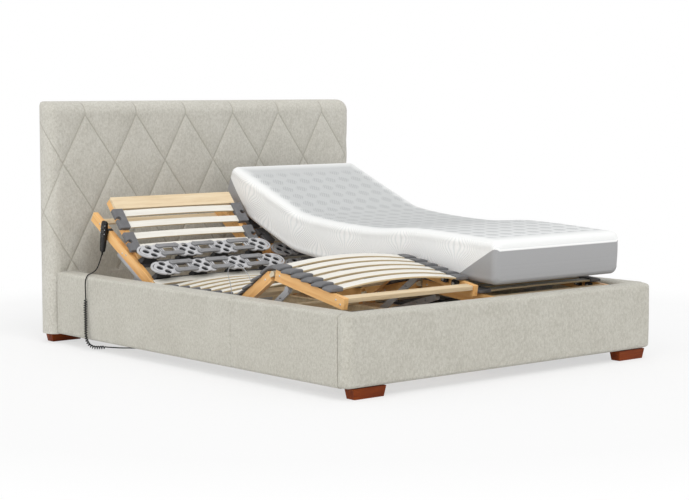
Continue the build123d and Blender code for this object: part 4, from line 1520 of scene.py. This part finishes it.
# %% Handset shell, marks, hook and sleeve
HANDSET_STATIONS = (
    (-1.0, 0.40, 0.42),
    (-0.985, 0.52, 0.6),
    (-0.95, 0.64, 0.78),
    (-0.88, 0.74, 0.9),
    (-0.7, 0.83, 0.97),
    (-0.3, 0.94, 1.0),
    (0.3, 1.0, 1.0),
    (0.75, 0.98, 1.0),
    (0.9, 0.9, 0.92),
    (0.965, 0.76, 0.76),
    (0.99, 0.6, 0.56),
    (1.0, 0.46, 0.4),
)
KEY_PLACES = (46, 26, 6)
MARK_AT = (16.5, 9.5)
MARK_RADIUS = 0.0021
HOOK_HALF = 0.009
HOOK_STRAP = ((-0.7789, -0.02), (-0.7752, 0.0255), 0.0008)
HOOK_TOP = ((-0.7789, 0.0242), (-0.7511, 0.0257), 0.0005)
SLEEVE_RIBS = 13
UPRIGHT = ((1, 0, 0), (0, 0, 1))
handset_across = HANDSET_UP.cross(Vector((-1, 0, 0)))
handset_turn = Matrix((handset_across, HANDSET_UP, (-1, 0, 0))).transposed().to_4x4()
handset_axes = Matrix.Translation(HANDSET_AT * MM) @ handset_turn
half_wide, half_tall, half_deep = [size / 2 for size in HANDSET_SIZE]

shape = bmesh.new()
rings = []
for share, wide, deep in HANDSET_STATIONS:
    spot = (0, share * half_tall * MM, 0)
    rings.append(ring(spot, wide * half_wide * MM, deep * half_deep * MM, *UPRIGHT, 3.6, 32))
loft(shape, rings)
piece("handset_shell", shape, HANDSET_PLASTIC, "left_back", ("handset",), handset_axes, 50)

shape = bmesh.new()
for along in KEY_PLACES:
    for end in HANDS:
        spot = Vector((end * MARK_AT[0], along + MARK_AT[1], half_deep)) * MM
        rod(shape, spot - Vector((0, 0, 0.0008)), spot + Vector((0, 0, 0.0003)), MARK_RADIUS, 0.0001, 12)
piece("handset_marks", shape, MARK_PAINT, "left_back", (), handset_axes)

grip = (SECTION["left_back"].inverted() @ (HANDSET_AT * MM)).y
shape = bmesh.new()
for (x_low, z_low), (x_high, z_high), edge in (HOOK_STRAP, HOOK_TOP):
    block(shape, (x_low, grip - HOOK_HALF, z_low), (x_high, grip + HOOK_HALF, z_high), edge)
piece("handset_hook", shape, BLACK_STEEL, "left_back", (), SECTION["left_back"])

shape = bmesh.new()
rings = []
for i in range(SLEEVE_RIBS):
    spot = Vector((0, -half_tall + 2 - i * 1.5, 0)) * MM
    radius = (5.2 - 0.15 * i - 0.5 * (i % 2)) * MM
    rings.append(ring(spot, radius, radius, *UPRIGHT, 2, 16))
loft(shape, rings)
piece("handset_sleeve", shape, CORD_JACKET, "left_back", (), handset_axes)
print("handset at", tuple(HANDSET_AT), "hook at", round(grip, 3))

# %% [markdown]
# ## Small hardware
# Close up, a bed base is full of small fittings.  Domed screws sit in the outer faces of the rails, and a steel strip
# stiffens the lower edge of the back rails.  They are small, but without them the rails look like blocks.  A screw
# head is a short loft of circles, and a strip is a thin block; both are placed in a section's own axes.

# %% Screws and steel strips
SCREW_RADIUS = 4.5
RAIL_OUTER = 375
SCREWS = {
    "back": ((70, 6), (300, 6), (330, -4), (560, 6)),
    "thigh": ((-60, 4), (-240, 2)),
    "leg": ((-50, 4), (-420, 6), (-450, -6)),
}
SCREW_HEAD = ((-0.5, 1.0), (0.5, 1.0), (0.9, 0.9), (1.3, 0.6), (1.45, 0.25))
STRIP_OUT = 0.6
STRIP_HALF = 0.0005
STRIP_ALONG = (0.03, 0.36)
STRIP_HEIGHTS = (-0.038, -0.02)


def screw(shape, spot, out):
    """Domed head with a raised rim."""
    spot, out = Vector(spot), Vector(out)
    side = out.orthogonal().normalized()
    other = out.cross(side)
    rings = []
    for height, share in SCREW_HEAD:
        radius = share * SCREW_RADIUS * MM
        rings.append(ring(spot + out * (height * MM), radius, radius, side, other, 2, 16))
    loft(shape, rings)


for side in SIDES:
    for section, places in SCREWS.items():
        shape = bmesh.new()
        for hand in HANDS:
            for along, up in places:
                x = CENTRE[side] + hand * RAIL_OUTER * MM
                screw(shape, (x, along * MM, up * MM), (hand, 0, 0))
        body = f"{side}_{section}"
        piece(f"{body}_screws", shape, BRIGHT_STEEL, body, (), SECTION[body])
    shape = bmesh.new()
    for hand in HANDS:
        x = CENTRE[side] + hand * (RAIL_OUTER + STRIP_OUT) * MM
        low, high = zip((x - STRIP_HALF, x + STRIP_HALF), STRIP_ALONG, STRIP_HEIGHTS)
        block(shape, low, high, 0.0003)
    piece(f"{side}_back_strip", shape, STEEL, f"{side}_back", (), SECTION[f"{side}_back"])
print("screws and strips on", len(SIDES), "bases")

# %% [markdown]
# ## End stops
# Black end stops sit under the last slats, on the inner faces of the leg rails, and keep the section from folding too
# far.  Each is a block with a bright pin in it.  They lie in the leg section's axes, so they tilt with it.

# %% End stops
STOP_PLACES = (-300, -365)
RAIL_THICK = 25.2
STOP_DEEP = 0.02
STOP_HALF = 0.016
STOP_HEIGHTS = (-0.004, 0.02)
PIN_REACH = (0.018, 0.027)
PIN_HEIGHT = 0.008
PIN_RADIUS = 0.0055

for side in SIDES:
    pins, stops = bmesh.new(), bmesh.new()
    for hand in HANDS:
        inner = CENTRE[side] + hand * (RAIL_OUTER - RAIL_THICK) * MM
        span = sorted((inner, inner - hand * STOP_DEEP))
        for along in STOP_PLACES:
            y = along * MM
            low, high = zip(span, (y - STOP_HALF, y + STOP_HALF), STOP_HEIGHTS)
            block(stops, low, high, 0.003)
            start, end = [(inner - hand * reach, y, PIN_HEIGHT) for reach in PIN_REACH]
            rod(pins, start, end, PIN_RADIUS)
    body = f"{side}_leg"
    piece(f"{body}_stops", stops, BLACK_STEEL, body, (), SECTION[body])
    piece(f"{body}_stop_pins", pins, BRIGHT_STEEL, body, (), SECTION[body])
print("end stops on both leg sections")

# %% [markdown]
# ## Wire hoop
# A bent wire hoop stands up beside the seat and keeps a mattress from sliding sideways.  It is a single wire, so it
# is a curve with a round bevel.  A curve keeps its control points, so the bend stays easy to change.

# %% Wire hoop
WIRE_RADIUS = 1.6
WIRE_UP = ((-742, -172, 330), (-741, -166, 372), (-740, -140, 410), (-738, -146, 440))
WIRE_TOP = ((-728, -172, 458), (-714, -196, 456), (-704, -214, 438))
WIRE_DOWN = ((-700, -250, 404), (-700, -262, 372))
WIRE_ROUTE = WIRE_UP + WIRE_TOP + WIRE_DOWN
curve = smooth_curve("mattress_stop", WIRE_ROUTE)
curve.bevel_depth = WIRE_RADIUS * MM
curve.bevel_resolution = 3
curve.use_fill_caps = True
curve.materials.append(STEEL)
hoop = bpy.data.objects.new("mattress_stop", curve)
scene.collection.objects.link(hoop)
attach(hoop, "bed")
print("wire hoop of", len(WIRE_ROUTE), "points")
